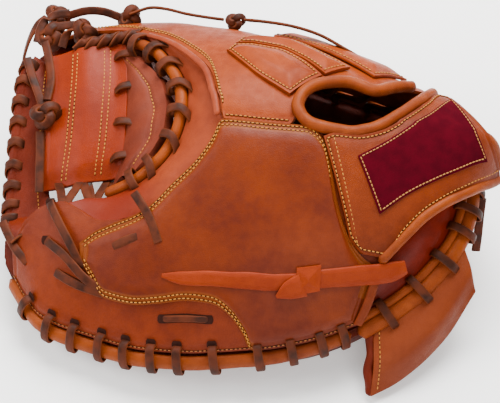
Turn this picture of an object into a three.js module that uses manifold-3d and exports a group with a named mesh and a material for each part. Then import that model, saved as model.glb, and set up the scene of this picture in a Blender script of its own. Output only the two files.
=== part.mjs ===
// Catcher's mitt lying palm down: wrist towards +X, web towards -X, thumb side towards -Y
import * as THREE from 'three';
import { mergeVertices } from 'three/addons/utils/BufferGeometryUtils.js';
import Module from 'manifold-3d';

const wasm = await Module();
wasm.setup();

// Driving sizes in millimetres
const LEATHER = 2.2;
const TOP_LEATHER = 1.8;
const GAP = 0.3;
const FACET_ERROR = 0.16;
const ROOM = GAP + 1.8 * FACET_ERROR;
const LACE_WIDTH = 5.6;
const LACE_THICKNESS = 1.8;
const WELT_HEIGHT = 10;
const WELT_THICKNESS = 6.5;
const ROLL_RADIUS = 4.2;
const CROTCH_WELT_RADIUS = 3.8;
const CUFF_THICKNESS = 3;
const WEB_THICKNESS = 3.6;
const WEB_PAD_THICKNESS = 8;
const STALL_THICKNESS = 3.4;
const PATCH_THICKNESS = 1.2;
const LOOP_STRAP_WIDTH = 12;
const LOOP_STRAP_THICKNESS = 2.4;
const PALM_WALL = 6;
const PALM_INSET = 5;
const NOTCH_REACH = 20;
const CUFF_BULGE = 1.5;
const CUFF_DROP = 2.8;
const WELT_ROOM = 5.2;
const HEEL_PAD = 4;
const TOP_LIFT = TOP_LEATHER + 2 * GAP;
const LOOP_LIFT = TOP_LIFT + LOOP_STRAP_THICKNESS / 2 + 2 * GAP;
const KEEPER_LIFT = LOOP_LIFT + LOOP_STRAP_THICKNESS / 2 + 2 * GAP;
const SHELL_LACE_LIFT = LACE_THICKNESS / 2 + 2 * GAP;
const PANEL_LACE_LIFT = TOP_LIFT + LACE_THICKNESS / 2 + GAP;
const TAIL_LIFT = TOP_LIFT + LACE_THICKNESS;
const TIE_RISE = 4.4;
const STRAP_LIFT = TOP_LEATHER + 3 * GAP;
const PATCH_LIFT = STRAP_LIFT + LEATHER + 3 * GAP;

// Plan middle of the whole mitt in the modelling frame
const MIDDLE_X = -0.25;
const MIDDLE_Y = 8.8;

// Roundness of the back across the mitt: 2 is an ellipse, less is flatter
const NEAR_ROUNDNESS = 1.4;
const FAR_ROUNDNESS = 2.1;

// Sections of the back: thumb-side rim, finger-side rim and crown at each station
const BACK = [
  { x: -158, nearY: -34, nearZ: 32, farY: 70, farZ: 68, crownY: 28, crownZ: 70 },
  { x: -148, nearY: -53, nearZ: 26, farY: 95, farZ: 69, crownY: 34, crownZ: 80 },
  { x: -131, nearY: -78, nearZ: 22, farY: 115, farZ: 64, crownY: 38, crownZ: 92 },
  { x: -99, nearY: -94, nearZ: 22, farY: 129, farZ: 55, crownY: 37, crownZ: 107 },
  { x: -64, nearY: -106.5, nearZ: 25, farY: 134, farZ: 46, crownY: 32, crownZ: 116 },
  { x: -32, nearY: -110, nearZ: 27, farY: 131, farZ: 39, crownY: 27, crownZ: 122 },
  { x: 0, nearY: -109, nearZ: 29, farY: 124, farZ: 34, crownY: 20, crownZ: 126 },
  { x: 32, nearY: -104, nearZ: 31, farY: 115, farZ: 31, crownY: 15, crownZ: 126 },
  { x: 61, nearY: -94, nearZ: 34, farY: 102, farZ: 32, crownY: 10, crownZ: 122 },
  { x: 83, nearY: -84, nearZ: 38, farY: 91, farZ: 34, crownY: 6, crownZ: 117 },
  { x: 110, nearY: -65, nearZ: 46, farY: 76, farZ: 36, crownY: 4, crownZ: 111 },
  { x: 133, nearY: -38, nearZ: 55, farY: 60, farZ: 40, crownY: 5, crownZ: 105 },
  { x: 150, nearY: -10, nearZ: 60, farY: 44, farZ: 46, crownY: 9, crownZ: 96 },
  { x: 160, nearY: 6, nearZ: 66, farY: 26, farZ: 60, crownY: 15, crownZ: 82 },
];

// Padded palm from the pocket's middle (0) to the rim (1): underside and lining heights
const PALM = [
  { out: 0, under: 56, over: 70 },
  { out: 0.25, under: 52, over: 67 },
  { out: 0.45, under: 34, over: 57 },
  { out: 0.6, under: 8, over: 44 },
  { out: 0.68, under: -2, over: 36 },
  { out: 0.84, under: -12, over: 30 },
  { out: 0.95, under: -2, over: 28 },
  { out: 1, under: 14, over: 27 },
];

// Notch of the palm, from the thumb tip around the crotch to the index fingertip
const NOTCH = [
  { x: -158, y: -24, z: 38 },
  { x: -149, y: -23, z: 46 },
  { x: -139, y: -21, z: 60 },
  { x: -128, y: -19, z: 69 },
  { x: -118, y: -18, z: 73 },
  { x: -104, y: -17, z: 71 },
  { x: -91, y: -14, z: 70 },
  { x: -81, y: -13, z: 75 },
  { x: -72, y: -11, z: 80 },
  { x: -63, y: -7, z: 86 },
  { x: -54, y: 0, z: 92 },
  { x: -48, y: 9, z: 97 },
  { x: -44, y: 20, z: 102 },
  { x: -43, y: 34, z: 105.5 },
  { x: -45, y: 48, z: 106 },
  { x: -52, y: 63, z: 105 },
  { x: -63, y: 79, z: 103 },
  { x: -77, y: 89, z: 98 },
  { x: -98, y: 95, z: 88 },
  { x: -113, y: 98, z: 80 },
  { x: -128, y: 96, z: 74 },
  { x: -140, y: 94, z: 70 },
];
const CROTCH_START = 6;
const CROTCH_END = 17;

const vector = (x, y, z) => new THREE.Vector3(x, y, z);
const mix = THREE.MathUtils.lerp;

// Cubic through the points that never swings past them
function smooth(xs, ys, x) {
  const last = xs.length - 1;
  const width = k => xs[k + 1] - xs[k];
  const rise = k => (ys[k + 1] - ys[k]) / width(k);
  const slope = k => {
    if (k === 0) return rise(0);
    if (k === last) return rise(last - 1);
    if (rise(k - 1) * rise(k) <= 0) return 0;
    const before = 2 * width(k) + width(k - 1);
    const after = width(k) + 2 * width(k - 1);
    return (before + after) / (before / rise(k - 1) + after / rise(k));
  };
  let k = 0;
  while (k < last - 1 && x > xs[k + 1]) k += 1;
  const t = THREE.MathUtils.clamp((x - xs[k]) / width(k), 0, 1);
  const start = ys[k] + t * t * (3 - 2 * t) * (ys[k + 1] - ys[k]);
  const bend = (1 - t) * slope(k) - t * slope(k + 1);
  return start + width(k) * t * (1 - t) * bend;
}

// A row of a table between its rows, placed by a column or, without one, by row number
function between(table, t, column) {
  const places = table.map((row, number) => (column ? row[column] : number));
  const found = {};
  for (const key of Object.keys(table[0])) {
    found[key] = smooth(places, table.map(row => row[key]), t);
  }
  return found;
}

// Point of the back: f runs from the thumb-side rim (0) over the crown to the finger rim (1)
function backPoint(x, f) {
  const section = between(BACK, x, 'x');
  const near = f <= 0.5;
  const angle = Math.PI * (near ? f : 1 - f);
  const power = 2 / (near ? NEAR_ROUNDNESS : FAR_ROUNDNESS);
  const across = Math.max(Math.cos(angle), 0) ** power;
  const up = Math.max(Math.sin(angle), 0) ** power;
  const rimY = near ? section.nearY : section.farY;
  const rimZ = near ? section.nearZ : section.farZ;
  return vector(x, mix(section.crownY, rimY, across), mix(rimZ, section.crownZ, up));
}

function backNormal(x, f) {
  const along = backPoint(x + 1, f).sub(backPoint(x - 1, f));
  const around = backPoint(x, Math.min(f + 0.02, 1)).sub(backPoint(x, Math.max(f - 0.02, 0)));
  return along.cross(around).normalize();
}

const onBack = (x, f, lift) => backPoint(x, f).addScaledVector(backNormal(x, f), lift);

// Solids
function solidOf(positions, triangles) {
  const make = faces => new wasm.Manifold(new wasm.Mesh({
    numProp: 3,
    vertProperties: new Float32Array(positions),
    triVerts: new Uint32Array(faces),
  }));
  const solid = make(triangles);
  return solid.volume() > 0 ? solid : make([...triangles].reverse());
}

function solidOfGeometry(geometry) {
  geometry.deleteAttribute('normal');
  geometry.deleteAttribute('uv');
  const merged = mergeVertices(geometry, 1e-4);
  return solidOf(merged.getAttribute('position').array, Array.from(merged.getIndex().array));
}

// Closed wall: pointAt(u, v, side) gives its two faces, side 0 and side 1
function wall(pointAt, stepsU, stepsV) {
  const positions = [];
  const triangles = [];
  const number = (i, j, side) => (side * (stepsU + 1) + i) * (stepsV + 1) + j;
  const quad = (a, b, c, d) => triangles.push(a, b, c, a, c, d);
  for (let side = 0; side < 2; side += 1) {
    for (let i = 0; i <= stepsU; i += 1) {
      for (let j = 0; j <= stepsV; j += 1) {
        positions.push(...pointAt(i / stepsU, j / stepsV, side).toArray());
      }
    }
  }
  for (let i = 0; i < stepsU; i += 1) {
    for (let j = 0; j < stepsV; j += 1) {
      quad(number(i, j, 1), number(i + 1, j, 1), number(i + 1, j + 1, 1), number(i, j + 1, 1));
      quad(number(i, j, 0), number(i, j + 1, 0), number(i + 1, j + 1, 0), number(i + 1, j, 0));
    }
    quad(number(i, 0, 0), number(i + 1, 0, 0), number(i + 1, 0, 1), number(i, 0, 1));
    quad(number(i, stepsV, 1), number(i + 1, stepsV, 1), number(i + 1, stepsV, 0), number(i, stepsV, 0));
  }
  for (let j = 0; j < stepsV; j += 1) {
    quad(number(0, j, 1), number(0, j + 1, 1), number(0, j + 1, 0), number(0, j, 0));
    quad(number(stepsU, j, 0), number(stepsU, j + 1, 0), number(stepsU, j + 1, 1), number(stepsU, j, 1));
  }
  return solidOf(positions, triangles);
}

// Leather on the back: each rib is a straight line of (x, f) from the panel's first edge to its second
function panel(ribs, inner, outer, stepsU, stepsV) {
  return wall((u, v, side) => {
    const rib = between(ribs, u * (ribs.length - 1));
    return onBack(mix(rib.x0, rib.x1, v), mix(rib.f0, rib.f1, v), side ? outer : inner);
  }, stepsU, stepsV);
}

// Leather between two edges in space, bulged in the middle and with half its thickness on each side
function sheetBetween(first, second, thickness, bulge, stepsU, stepsV) {
  const edge = (rows, u) => {
    const row = between(rows, u * (rows.length - 1));
    return vector(row.x, row.y, row.z);
  };
  const middle = (u, v) => edge(first, u).lerp(edge(second, u), v);
  return wall((u, v, side) => {
    const along = middle(Math.min(u + 0.02, 1), v).sub(middle(Math.max(u - 0.02, 0), v));
    const normal = along.cross(edge(second, u).sub(edge(first, u))).normalize();
    if (normal.z < 0) normal.negate();
    const lift = bulge * Math.sin(Math.PI * v) ** 2 + (side - 0.5) * thickness;
    return middle(u, v).addScaledVector(normal, lift);
  }, stepsU, stepsV);
}

// A section placed at each point, held square to the given side directions
function placed(points, sides, section) {
  return points.map((point, k) => {
    const next = points[Math.min(k + 1, points.length - 1)];
    const direction = next.clone().sub(points[Math.max(k - 1, 0)]).normalize();
    const side = sides[k].clone().addScaledVector(direction, -sides[k].dot(direction)).normalize();
    const up = side.clone().cross(direction);
    return section.map(([a, b]) => point.clone().addScaledVector(side, a).addScaledVector(up, b).toArray());
  });
}

function sweep(points, sides, section) {
  const positions = placed(points, sides, section).flat(2);
  const triangles = [];
  const corners = section.length;
  for (let k = 0; k < points.length - 1; k += 1) {
    for (let c = 0; c < corners; c += 1) {
      const here = k * corners + c;
      const beside = k * corners + (c + 1) % corners;
      triangles.push(here, beside, beside + corners, here, beside + corners, here + corners);
    }
  }
  const end = (points.length - 1) * corners;
  for (let c = 1; c < corners - 1; c += 1) {
    triangles.push(0, c + 1, c, end, end + c, end + c + 1);
  }
  return solidOf(positions, triangles);
}

const flat = (width, thickness) => [
  [-width / 2, -thickness / 2],
  [width / 2, -thickness / 2],
  [width / 2, thickness / 2],
  [-width / 2, thickness / 2],
];

const hexagon = (width, thickness) => [
  [-width / 2, 0],
  [-width / 4, -thickness / 2],
  [width / 4, -thickness / 2],
  [width / 2, 0],
  [width / 4, thickness / 2],
  [-width / 4, thickness / 2],
];

// A flat lace through hand-placed points, with its width across the given direction
function lace(rows, across, steps) {
  const places = rows.map(row => vector(row.x, row.y, row.z));
  const curve = new THREE.CatmullRomCurve3(places, false, 'centripetal');
  const points = curve.getPoints(steps);
  return sweep(points, points.map(() => across), flat(LACE_WIDTH, LACE_THICKNESS));
}

// A strap lying on the back through (x, f) rows
function onBackStrip(rows, lift, width, thickness, steps) {
  const places = Array.from({ length: steps + 1 }, (_, k) => between(rows, k / steps * (rows.length - 1)));
  const points = places.map(place => onBack(place.x, place.f, lift));
  const sides = places.map((place, k) => {
    const next = points[Math.min(k + 1, steps)].clone().sub(points[Math.max(k - 1, 0)]);
    return next.cross(backNormal(place.x, place.f)).normalize();
  });
  return sweep(points, sides, flat(width, thickness));
}

function roundTube(points, radius, steps, sides = 8) {
  const outline = new THREE.Shape();
  for (let k = 0; k < sides; k += 1) {
    const angle = 2 * Math.PI * k / sides;
    const place = [radius * Math.cos(angle), radius * Math.sin(angle)];
    if (k === 0) outline.moveTo(...place);
    else outline.lineTo(...place);
  }
  outline.closePath();
  const extrudePath = new THREE.CatmullRomCurve3(points, false, 'centripetal');
  return solidOfGeometry(new THREE.ExtrudeGeometry(outline, { steps, extrudePath, bevelEnabled: false }));
}

// The same solid with every face moved out by the amount
function grown(solid, amount) {
  const mesh = solid.getMesh();
  const at = k => vector(...mesh.vertProperties.slice(3 * k, 3 * k + 3));
  const total = Array.from({ length: mesh.vertProperties.length / 3 }, () => vector(0, 0, 0));
  const faces = total.map(() => []);
  for (let k = 0; k < mesh.triVerts.length; k += 3) {
    const [a, b, c] = mesh.triVerts.slice(k, k + 3);
    const face = at(b).sub(at(a)).cross(at(c).sub(at(a)));
    for (const corner of [a, b, c]) {
      total[corner].add(face);
      faces[corner].push(face.clone().normalize());
    }
  }
  const positions = total.flatMap((sum, k) => {
    const normal = sum.normalize();
    const least = Math.min(...faces[k].map(face => face.dot(normal)));
    return at(k).addScaledVector(normal, amount / Math.max(least, 0.4)).toArray();
  });
  return solidOf(positions, Array.from(mesh.triVerts));
}

function largest(solid) {
  return solid.decompose().reduce((best, piece) => (piece.volume() > best.volume() ? piece : best));
}

// A piece less the room that its neighbours need
function cut(solid, ...neighbours) {
  const room = wasm.Manifold.union(neighbours.map(piece => piece.room ?? grown(piece, ROOM)));
  return largest(solid.subtract(room).simplify(FACET_ERROR));
}

// Rim: place, outward direction and surface direction at a station of either side
function rimFrame(x, finger) {
  const rim = finger ? 1 : 0;
  const edge = backPoint(x, rim);
  const along = backPoint(x + 1, rim).sub(backPoint(x - 1, rim)).normalize();
  const out = edge.clone().sub(backPoint(x, finger ? 0.93 : 0.07));
  out.addScaledVector(along, -out.dot(along)).normalize();
  const up = finger ? along.clone().cross(out) : out.clone().cross(along);
  return { edge, out, along, up };
}

const atRim = (frame, out, up) =>
  frame.edge.clone().addScaledVector(frame.out, out).addScaledVector(frame.up, up);

const stations = (from, to, steps) => Array.from({ length: steps + 1 }, (_, k) => mix(from, to, k / steps));

function weltOn(frames) {
  const points = frames.map(frame => atRim(frame, 2, 0));
  return sweep(points, frames.map(frame => frame.out), hexagon(WELT_HEIGHT, WELT_THICKNESS));
}

// The heel's rim leaves the back and closes around the wrist end of the palm
function heelFrame(t) {
  const place = u => {
    const row = between(HEEL_RIM, u * (HEEL_RIM.length - 1));
    return vector(row.x, row.y, row.z);
  };
  const along = place(Math.min(t + 0.02, 1)).sub(place(Math.max(t - 0.02, 0))).normalize();
  const out = along.clone().cross(vector(0, 0, 1));
  out.z = -0.6;
  out.addScaledVector(along, -out.dot(along)).normalize();
  return { edge: place(t), out, along, up: out.clone().cross(along) };
}

// One turn of whip lacing around an edge: outward and surface offsets, and how far to the next turn
const TURN = [
  { out: -9, up: -4.8, on: 0 },
  { out: -9, up: 4.2, on: 0 },
  { out: 3.8, up: 5.3, on: 0.02 },
  { out: 9.6, up: 0.8, on: 0.05 },
  { out: 6.2, up: -4.8, on: 0.08 },
  { out: -4.5, up: -5.2, on: 0.12 },
];

// One turn around a round welt or a thin edge
const roundTurn = (reach, height) => stations(0, 5, 5).map(k => ({
  out: reach * Math.cos(Math.PI * (3.5 - k) / 3),
  up: height * Math.sin(Math.PI * (3.5 - k) / 3),
  on: Math.max(0, (k - 2) / 4),
}));

// A lace that turns too sharply for a sweep: the hulls of its stretches, joined
function chain(points, sides, width, thickness) {
  const outlines = placed(points, sides, flat(width, thickness));
  const stretch = (outline, k) => wasm.Manifold.hull([...outlines[k], ...outline]);
  return wasm.Manifold.union(outlines.slice(1).map(stretch));
}

function whipLace(frames, turn = TURN) {
  const points = [];
  const sides = [];
  frames.forEach((frame, k) => {
    const next = frames[Math.min(k + 1, frames.length - 1)];
    const last = k === frames.length - 1;
    for (const place of last ? turn.slice(0, 5) : turn) {
      const here = atRim(frame, place.out, place.up);
      const there = atRim(next, place.out, place.up);
      points.push(here.lerp(there, place.on));
      sides.push(frame.along);
    }
  });
  const room = chain(points, sides, LACE_WIDTH + 2 * ROOM, LACE_THICKNESS + 2 * ROOM);
  return { solid: largest(chain(points, sides, LACE_WIDTH, LACE_THICKNESS).simplify(FACET_ERROR / 2)), room };
}

// Padded palm
const notchPoints = NOTCH.map(row => vector(row.x, row.y, row.z));
const notchCurve = new THREE.CatmullRomCurve3(notchPoints, false, 'centripetal').getPoints(42);

function palmPoint(u, v, side) {
  const x = mix(-156, 137, u);
  const section = between(BACK, x, 'x');
  const y = mix(section.nearY + PALM_INSET, section.farY - PALM_INSET - 1.5, v);
  const rimZ = mix(section.nearZ, section.farZ, v);
  const out = Math.min(1, (Math.abs(2 * v - 1) ** 2.4 + Math.abs((x + 9) / 148) ** 6) ** (1 / 2.4));
  const row = between(PALM, out, 'out');
  const edge = THREE.MathUtils.smoothstep(out, 0.86, 1);
  const nearest = notchCurve.reduce((best, point) => {
    const away = Math.hypot(point.x - x, point.y - y);
    return away < best.away ? { away, z: point.z } : best;
  }, { away: Infinity, z: 0 });
  const lip = Math.exp(-((nearest.away / NOTCH_REACH) ** 2));
  const under = mix(mix(row.under, rimZ - 12, edge), nearest.z - 5 - PALM_WALL, lip);
  const over = mix(mix(row.over, rimZ - 4.6, edge), nearest.z - 5, lip);
  const floor = Math.max(under, 0);
  return vector(x, y, side ? Math.max(over, floor + PALM_WALL - 1) : floor);
}

function notchPrism() {
  const outline = new THREE.Shape();
  outline.moveTo(-220, -24);
  for (const point of notchCurve) outline.lineTo(point.x, point.y);
  outline.lineTo(-220, 94);
  outline.closePath();
  const prism = new THREE.ExtrudeGeometry(outline, { depth: 260, bevelEnabled: false });
  prism.translate(0, 0, -40);
  return solidOfGeometry(prism);
}

// Back of the mitt: ribs of each leather panel
const THUMB_SHELL = [
  { x0: -149, f0: 0.05, x1: -150, f1: 0.165 },
  { x0: -145, f0: 0.042, x1: -140, f1: 0.25 },
  { x0: -136, f0: 0.042, x1: -129, f1: 0.28 },
  { x0: -122, f0: 0.042, x1: -118, f1: 0.288 },
  { x0: -106, f0: 0.042, x1: -107, f1: 0.277 },
  { x0: -92, f0: 0.042, x1: -94, f1: 0.262 },
  { x0: -78, f0: 0.042, x1: -80, f1: 0.266 },
  { x0: -64, f0: 0.042, x1: -63, f1: 0.284 },
  { x0: -50, f0: 0.042, x1: -46, f1: 0.322 },
  { x0: -36, f0: 0.042, x1: -31.3, f1: 0.356 },
  { x0: -24, f0: 0.042, x1: -22.1, f1: 0.39 },
  { x0: -12, f0: 0.042, x1: -16.5, f1: 0.4195 },
  { x0: 4, f0: 0.042, x1: 2, f1: 0.4195 },
  { x0: 22, f0: 0.042, x1: 20, f1: 0.4195 },
  { x0: 38, f0: 0.042, x1: 34, f1: 0.4195 },
  { x0: 50, f0: 0.042, x1: 50, f1: 0.395 },
  { x0: 58, f0: 0.042, x1: 62, f1: 0.34 },
  { x0: 63, f0: 0.042, x1: 72, f1: 0.26 },
  { x0: 66, f0: 0.042, x1: 80, f1: 0.195 },
];

const THUMB_PANEL = [
  { x0: -104, f0: 0.2, x1: -104.5, f1: 0.226 },
  { x0: -97, f0: 0.172, x1: -95, f1: 0.245 },
  { x0: -88.7, f0: 0.146, x1: -85, f1: 0.258 },
  { x0: -73.6, f0: 0.144, x1: -63.2, f1: 0.283 },
  { x0: -55.1, f0: 0.15, x1: -46, f1: 0.32 },
  { x0: -39.7, f0: 0.156, x1: -31.3, f1: 0.354 },
  { x0: -23.2, f0: 0.15, x1: -22.1, f1: 0.388 },
  { x0: -11, f0: 0.125, x1: -16.5, f1: 0.418 },
  { x0: -3.1, f0: 0.086, x1: -8, f1: 0.4195 },
  { x0: 2, f0: 0.046, x1: 4, f1: 0.4195 },
  { x0: 20, f0: 0.044, x1: 20, f1: 0.4195 },
  { x0: 36, f0: 0.044, x1: 34, f1: 0.4195 },
  { x0: 50, f0: 0.044, x1: 44, f1: 0.396 },
  { x0: 57, f0: 0.044, x1: 51, f1: 0.3 },
  { x0: 62, f0: 0.044, x1: 62, f1: 0.222 },
  { x0: 64.7, f0: 0.046, x1: 76, f1: 0.172 },
];

const FINGER_SHELL = [
  { x0: -126, f0: 0.835, x1: -133, f1: 0.982 },
  { x0: -112, f0: 0.8, x1: -118, f1: 0.982 },
  { x0: -98, f0: 0.762, x1: -104, f1: 0.982 },
  { x0: -78, f0: 0.718, x1: -90, f1: 0.982 },
  { x0: -63, f0: 0.678, x1: -76, f1: 0.982 },
  { x0: -51.7, f0: 0.654, x1: -63, f1: 0.982 },
  { x0: -37.3, f0: 0.605, x1: -48, f1: 0.982 },
  { x0: -23.7, f0: 0.548, x1: -34, f1: 0.982 },
  { x0: -18.5, f0: 0.477, x1: -20, f1: 0.982 },
  { x0: -15.4, f0: 0.4225, x1: -6, f1: 0.982 },
  { x0: 6.1, f0: 0.4225, x1: 10, f1: 0.982 },
  { x0: 24, f0: 0.4225, x1: 26, f1: 0.982 },
  { x0: 29.5, f0: 0.47, x1: 40, f1: 0.982 },
  { x0: 32, f0: 0.515, x1: 52, f1: 0.982 },
  { x0: 42, f0: 0.55, x1: 64, f1: 0.982 },
  { x0: 56, f0: 0.577, x1: 78, f1: 0.982 },
  { x0: 74, f0: 0.584, x1: 92, f1: 0.982 },
  { x0: 94, f0: 0.646, x1: 106, f1: 0.982 },
  { x0: 114, f0: 0.706, x1: 120, f1: 0.982 },
];

const MIDDLE_STALL = [
  { x0: -14.5, f0: 0.612, x1: -10, f1: 0.634 },
  { x0: -6, f0: 0.582, x1: 3, f1: 0.648 },
  { x0: 5, f0: 0.548, x1: 17.5, f1: 0.646 },
  { x0: 15.5, f0: 0.526, x1: 31.5, f1: 0.618 },
  { x0: 24.5, f0: 0.508, x1: 44.5, f1: 0.574 },
];

const RING_STALL = [
  { x0: -9, f0: 0.641, x1: -4.5, f1: 0.672 },
  { x0: 3, f0: 0.655, x1: 7.5, f1: 0.704 },
  { x0: 17.5, f0: 0.653, x1: 25.5, f1: 0.716 },
  { x0: 31.5, f0: 0.625, x1: 44, f1: 0.678 },
  { x0: 46.5, f0: 0.582, x1: 62.5, f1: 0.646 },
];

const LITTLE_STALL = [
  { x0: 15, f0: 0.742, x1: 20, f1: 0.85 },
  { x0: 30, f0: 0.744, x1: 40, f1: 0.87 },
  { x0: 46, f0: 0.722, x1: 62, f1: 0.85 },
  { x0: 62, f0: 0.69, x1: 84, f1: 0.81 },
  { x0: 78, f0: 0.65, x1: 100, f1: 0.755 },
];

const WRIST_STRAP = [
  { x0: 60, f0: 0.235, x1: 44.5, f1: 0.4 },
  { x0: 69, f0: 0.203, x1: 52, f1: 0.411 },
  { x0: 81.4, f0: 0.186, x1: 64.3, f1: 0.424 },
  { x0: 91.9, f0: 0.219, x1: 78.6, f1: 0.446 },
  { x0: 105, f0: 0.248, x1: 88, f1: 0.487 },
  { x0: 118, f0: 0.258, x1: 99, f1: 0.56 },
  { x0: 134.5, f0: 0.247, x1: 109, f1: 0.635 },
  { x0: 147, f0: 0.203, x1: 117, f1: 0.668 },
  { x0: 153.5, f0: 0.162, x1: 123, f1: 0.645 },
];

const PATCH = [
  { x0: 77.6, f0: 0.269, x1: 64.8, f1: 0.37 },
  { x0: 95, f0: 0.298, x1: 80, f1: 0.41 },
  { x0: 110, f0: 0.315, x1: 94, f1: 0.47 },
  { x0: 127, f0: 0.325, x1: 109, f1: 0.56 },
  { x0: 143, f0: 0.325, x1: 123.5, f1: 0.635 },
];

// Routes on the back
const OPENING_EDGE = [
  { x: 117, f: 0.684 },
  { x: 106, f: 0.62 },
  { x: 92.6, f: 0.515 },
  { x: 78.6, f: 0.452 },
  { x: 64.3, f: 0.428 },
  { x: 48.9, f: 0.42 },
  { x: 37.9, f: 0.424 },
  { x: 31.5, f: 0.442 },
  { x: 29.4, f: 0.468 },
  { x: 31.5, f: 0.507 },
  { x: 38, f: 0.534 },
  { x: 49.7, f: 0.56 },
  { x: 62.3, f: 0.58 },
  { x: 76, f: 0.579 },
  { x: 90, f: 0.625 },
  { x: 104, f: 0.678 },
];

const STRAP_LOWER_EDGE = [
  { x: 78, f: 0.181 },
  { x: 91.9, f: 0.213 },
  { x: 105, f: 0.241 },
  { x: 118, f: 0.252 },
  { x: 134.5, f: 0.24 },
  { x: 147, f: 0.195 },
  { x: 154, f: 0.15 },
];

const HEEL_EDGE = [
  { x: 122, f: 0.685 },
  { x: 130.5, f: 0.625 },
  { x: 141, f: 0.54 },
  { x: 149.5, f: 0.43 },
  { x: 154, f: 0.31 },
  { x: 156, f: 0.18 },
];

const CROTCH_STRIP = [
  { x: -20, f: 0.425 },
  { x: -22, f: 0.478 },
  { x: -27, f: 0.545 },
  { x: -39, f: 0.598 },
  { x: -53, f: 0.645 },
  { x: -66, f: 0.676 },
];

const CUFF_TOP = [
  { x: -116, f: 0.284 },
  { x: -101, f: 0.262 },
  { x: -85, f: 0.262 },
  { x: -63.2, f: 0.28 },
  { x: -45, f: 0.316 },
  { x: -30, f: 0.35 },
  { x: -20.5, f: 0.386 },
  { x: -14.5, f: 0.42 },
  { x: -15, f: 0.477 },
  { x: -20, f: 0.552 },
  { x: -34.5, f: 0.61 },
  { x: -50, f: 0.66 },
  { x: -70, f: 0.71 },
];

const THUMB_LOOP = [
  { x: -53, f: 0.192 },
  { x: -26.2, f: 0.189 },
  { x: 0, f: 0.186 },
  { x: 16.4, f: 0.179 },
  { x: 30.4, f: 0.177 },
  { x: 43.9, f: 0.176 },
  { x: 60, f: 0.168 },
  { x: 74.7, f: 0.16 },
  { x: 94, f: 0.15 },
];

// Edges in space
const WEB_LEFT = [
  { x: -133, y: 90, z: 81 },
  { x: -131.5, y: 62, z: 77 },
  { x: -131, y: 32, z: 67 },
  { x: -132.5, y: 1.5, z: 53 },
];

const WEB_RIGHT = [
  { x: -80, y: 93, z: 92 },
  { x: -78.5, y: 64, z: 85 },
  { x: -79, y: 34, z: 75 },
  { x: -82, y: 5.7, z: 62 },
];

const WEB_PAD_RIGHT = [
  { x: -72, y: 82, z: 93 },
  { x: -59, y: 64, z: 97 },
  { x: -52.5, y: 48, z: 99 },
  { x: -50, y: 34, z: 98 },
  { x: -51, y: 20, z: 95 },
  { x: -57, y: 8, z: 88 },
  { x: -69, y: -3, z: 77 },
];

const WEB_PAD_LEFT = [
  { x: -82, y: 88, z: 84 },
  { x: -81, y: 72, z: 81 },
  { x: -80.5, y: 56, z: 76.5 },
  { x: -80.5, y: 42, z: 71.5 },
  { x: -81, y: 28, z: 67 },
  { x: -82, y: 14, z: 61.5 },
  { x: -84, y: 2, z: 55.5 },
];

const WEB_RIM_OUTER = [
  { x: -141, y: 93, z: 80 },
  { x: -146.5, y: 76, z: 76 },
  { x: -149, y: 57.3, z: 68 },
  { x: -150.5, y: 37, z: 60 },
  { x: -152, y: 17.7, z: 50 },
  { x: -153, y: -0.5, z: 42 },
  { x: -154, y: -13, z: 36 },
];

const WEB_RIM_INNER = [
  { x: -130, y: 88, z: 74.5 },
  { x: -129, y: 68, z: 71.5 },
  { x: -128.5, y: 48, z: 65.5 },
  { x: -129, y: 27, z: 57 },
  { x: -129, y: 9, z: 49 },
  { x: -127, y: -3, z: 46 },
  { x: -124, y: -13, z: 45 },
];

const LOBE_TOP = [
  { x: 76, y: -90, z: 31 },
  { x: 89, y: -83, z: 35 },
  { x: 104, y: -73, z: 40 },
  { x: 120, y: -58, z: 46 },
  { x: 133, y: -42, z: 52 },
];

const LOBE_BOTTOM = [
  { x: 74, y: -121, z: 3.6 },
  { x: 88, y: -113.5, z: 5 },
  { x: 104, y: -102, z: 9 },
  { x: 123, y: -84, z: 17 },
  { x: 141, y: -62, z: 33 },
];

const HEEL_RIM = [
  { x: 66, y: -93, z: 34 },
  { x: 83, y: -84, z: 38 },
  { x: 103, y: -71, z: 44 },
  { x: 120, y: -54, z: 51 },
  { x: 132, y: -35, z: 57 },
  { x: 138, y: -15, z: 61 },
  { x: 140.5, y: 8, z: 62 },
  { x: 140.5, y: 30, z: 58 },
  { x: 138, y: 48, z: 50 },
];

const HEEL_PANEL_TOP = [
  { x: 121, f: 0.69 },
  { x: 130, f: 0.64 },
  { x: 140, f: 0.55 },
  { x: 148.5, f: 0.44 },
  { x: 153, f: 0.32 },
  { x: 154, f: 0.2 },
];

const HEEL_PANEL_FOOT = [
  { x: 121, y: 68, z: 43 },
  { x: 131, y: 60, z: 47 },
  { x: 140, y: 48, z: 56 },
  { x: 145, y: 30, z: 64 },
  { x: 145.5, y: 10, z: 68 },
  { x: 143, y: -8, z: 67 },
];

// Lace stations and free routes
const THUMB_HOLES = [-139.7, -125.5, -110.3, -92.8, -77, -60.9, -44.8, -22.7, 4.9, 25.1, 43.3, 56.9];
const HEEL_HOLES = [0.13, 0.26, 0.38, 0.5, 0.59, 0.68];
const CROTCH_TURNS = [0.96, 0.86, 0.75, 0.62, 0.5, 0.38, 0.24, 0.14];
const WEB_TURNS = stations(0.06, 0.94, 8);
const FINGER_HOLES = stations(-112, 122, 11);

const TOP_LACE = [
  { x: -79, y: 120, z: 91 },
  { x: -66, y: 123.2, z: 94 },
  { x: -55, y: 121.5, z: 94.7 },
  { x: -42.7, y: 119.4, z: 92.6 },
  { x: -30, y: 116, z: 93 },
  { x: -17, y: 114.5, z: 92 },
];

const TOP_LACE_END = [
  { x: -2, y: 109, z: 97.5 },
  { x: 7, y: 102, z: 104 },
  { x: 27, y: 95, z: 107 },
  { x: 45, y: 90, z: 104 },
  { x: 60, y: 81.5, z: 101 },
  { x: 74, y: 74, z: 97 },
];

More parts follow.
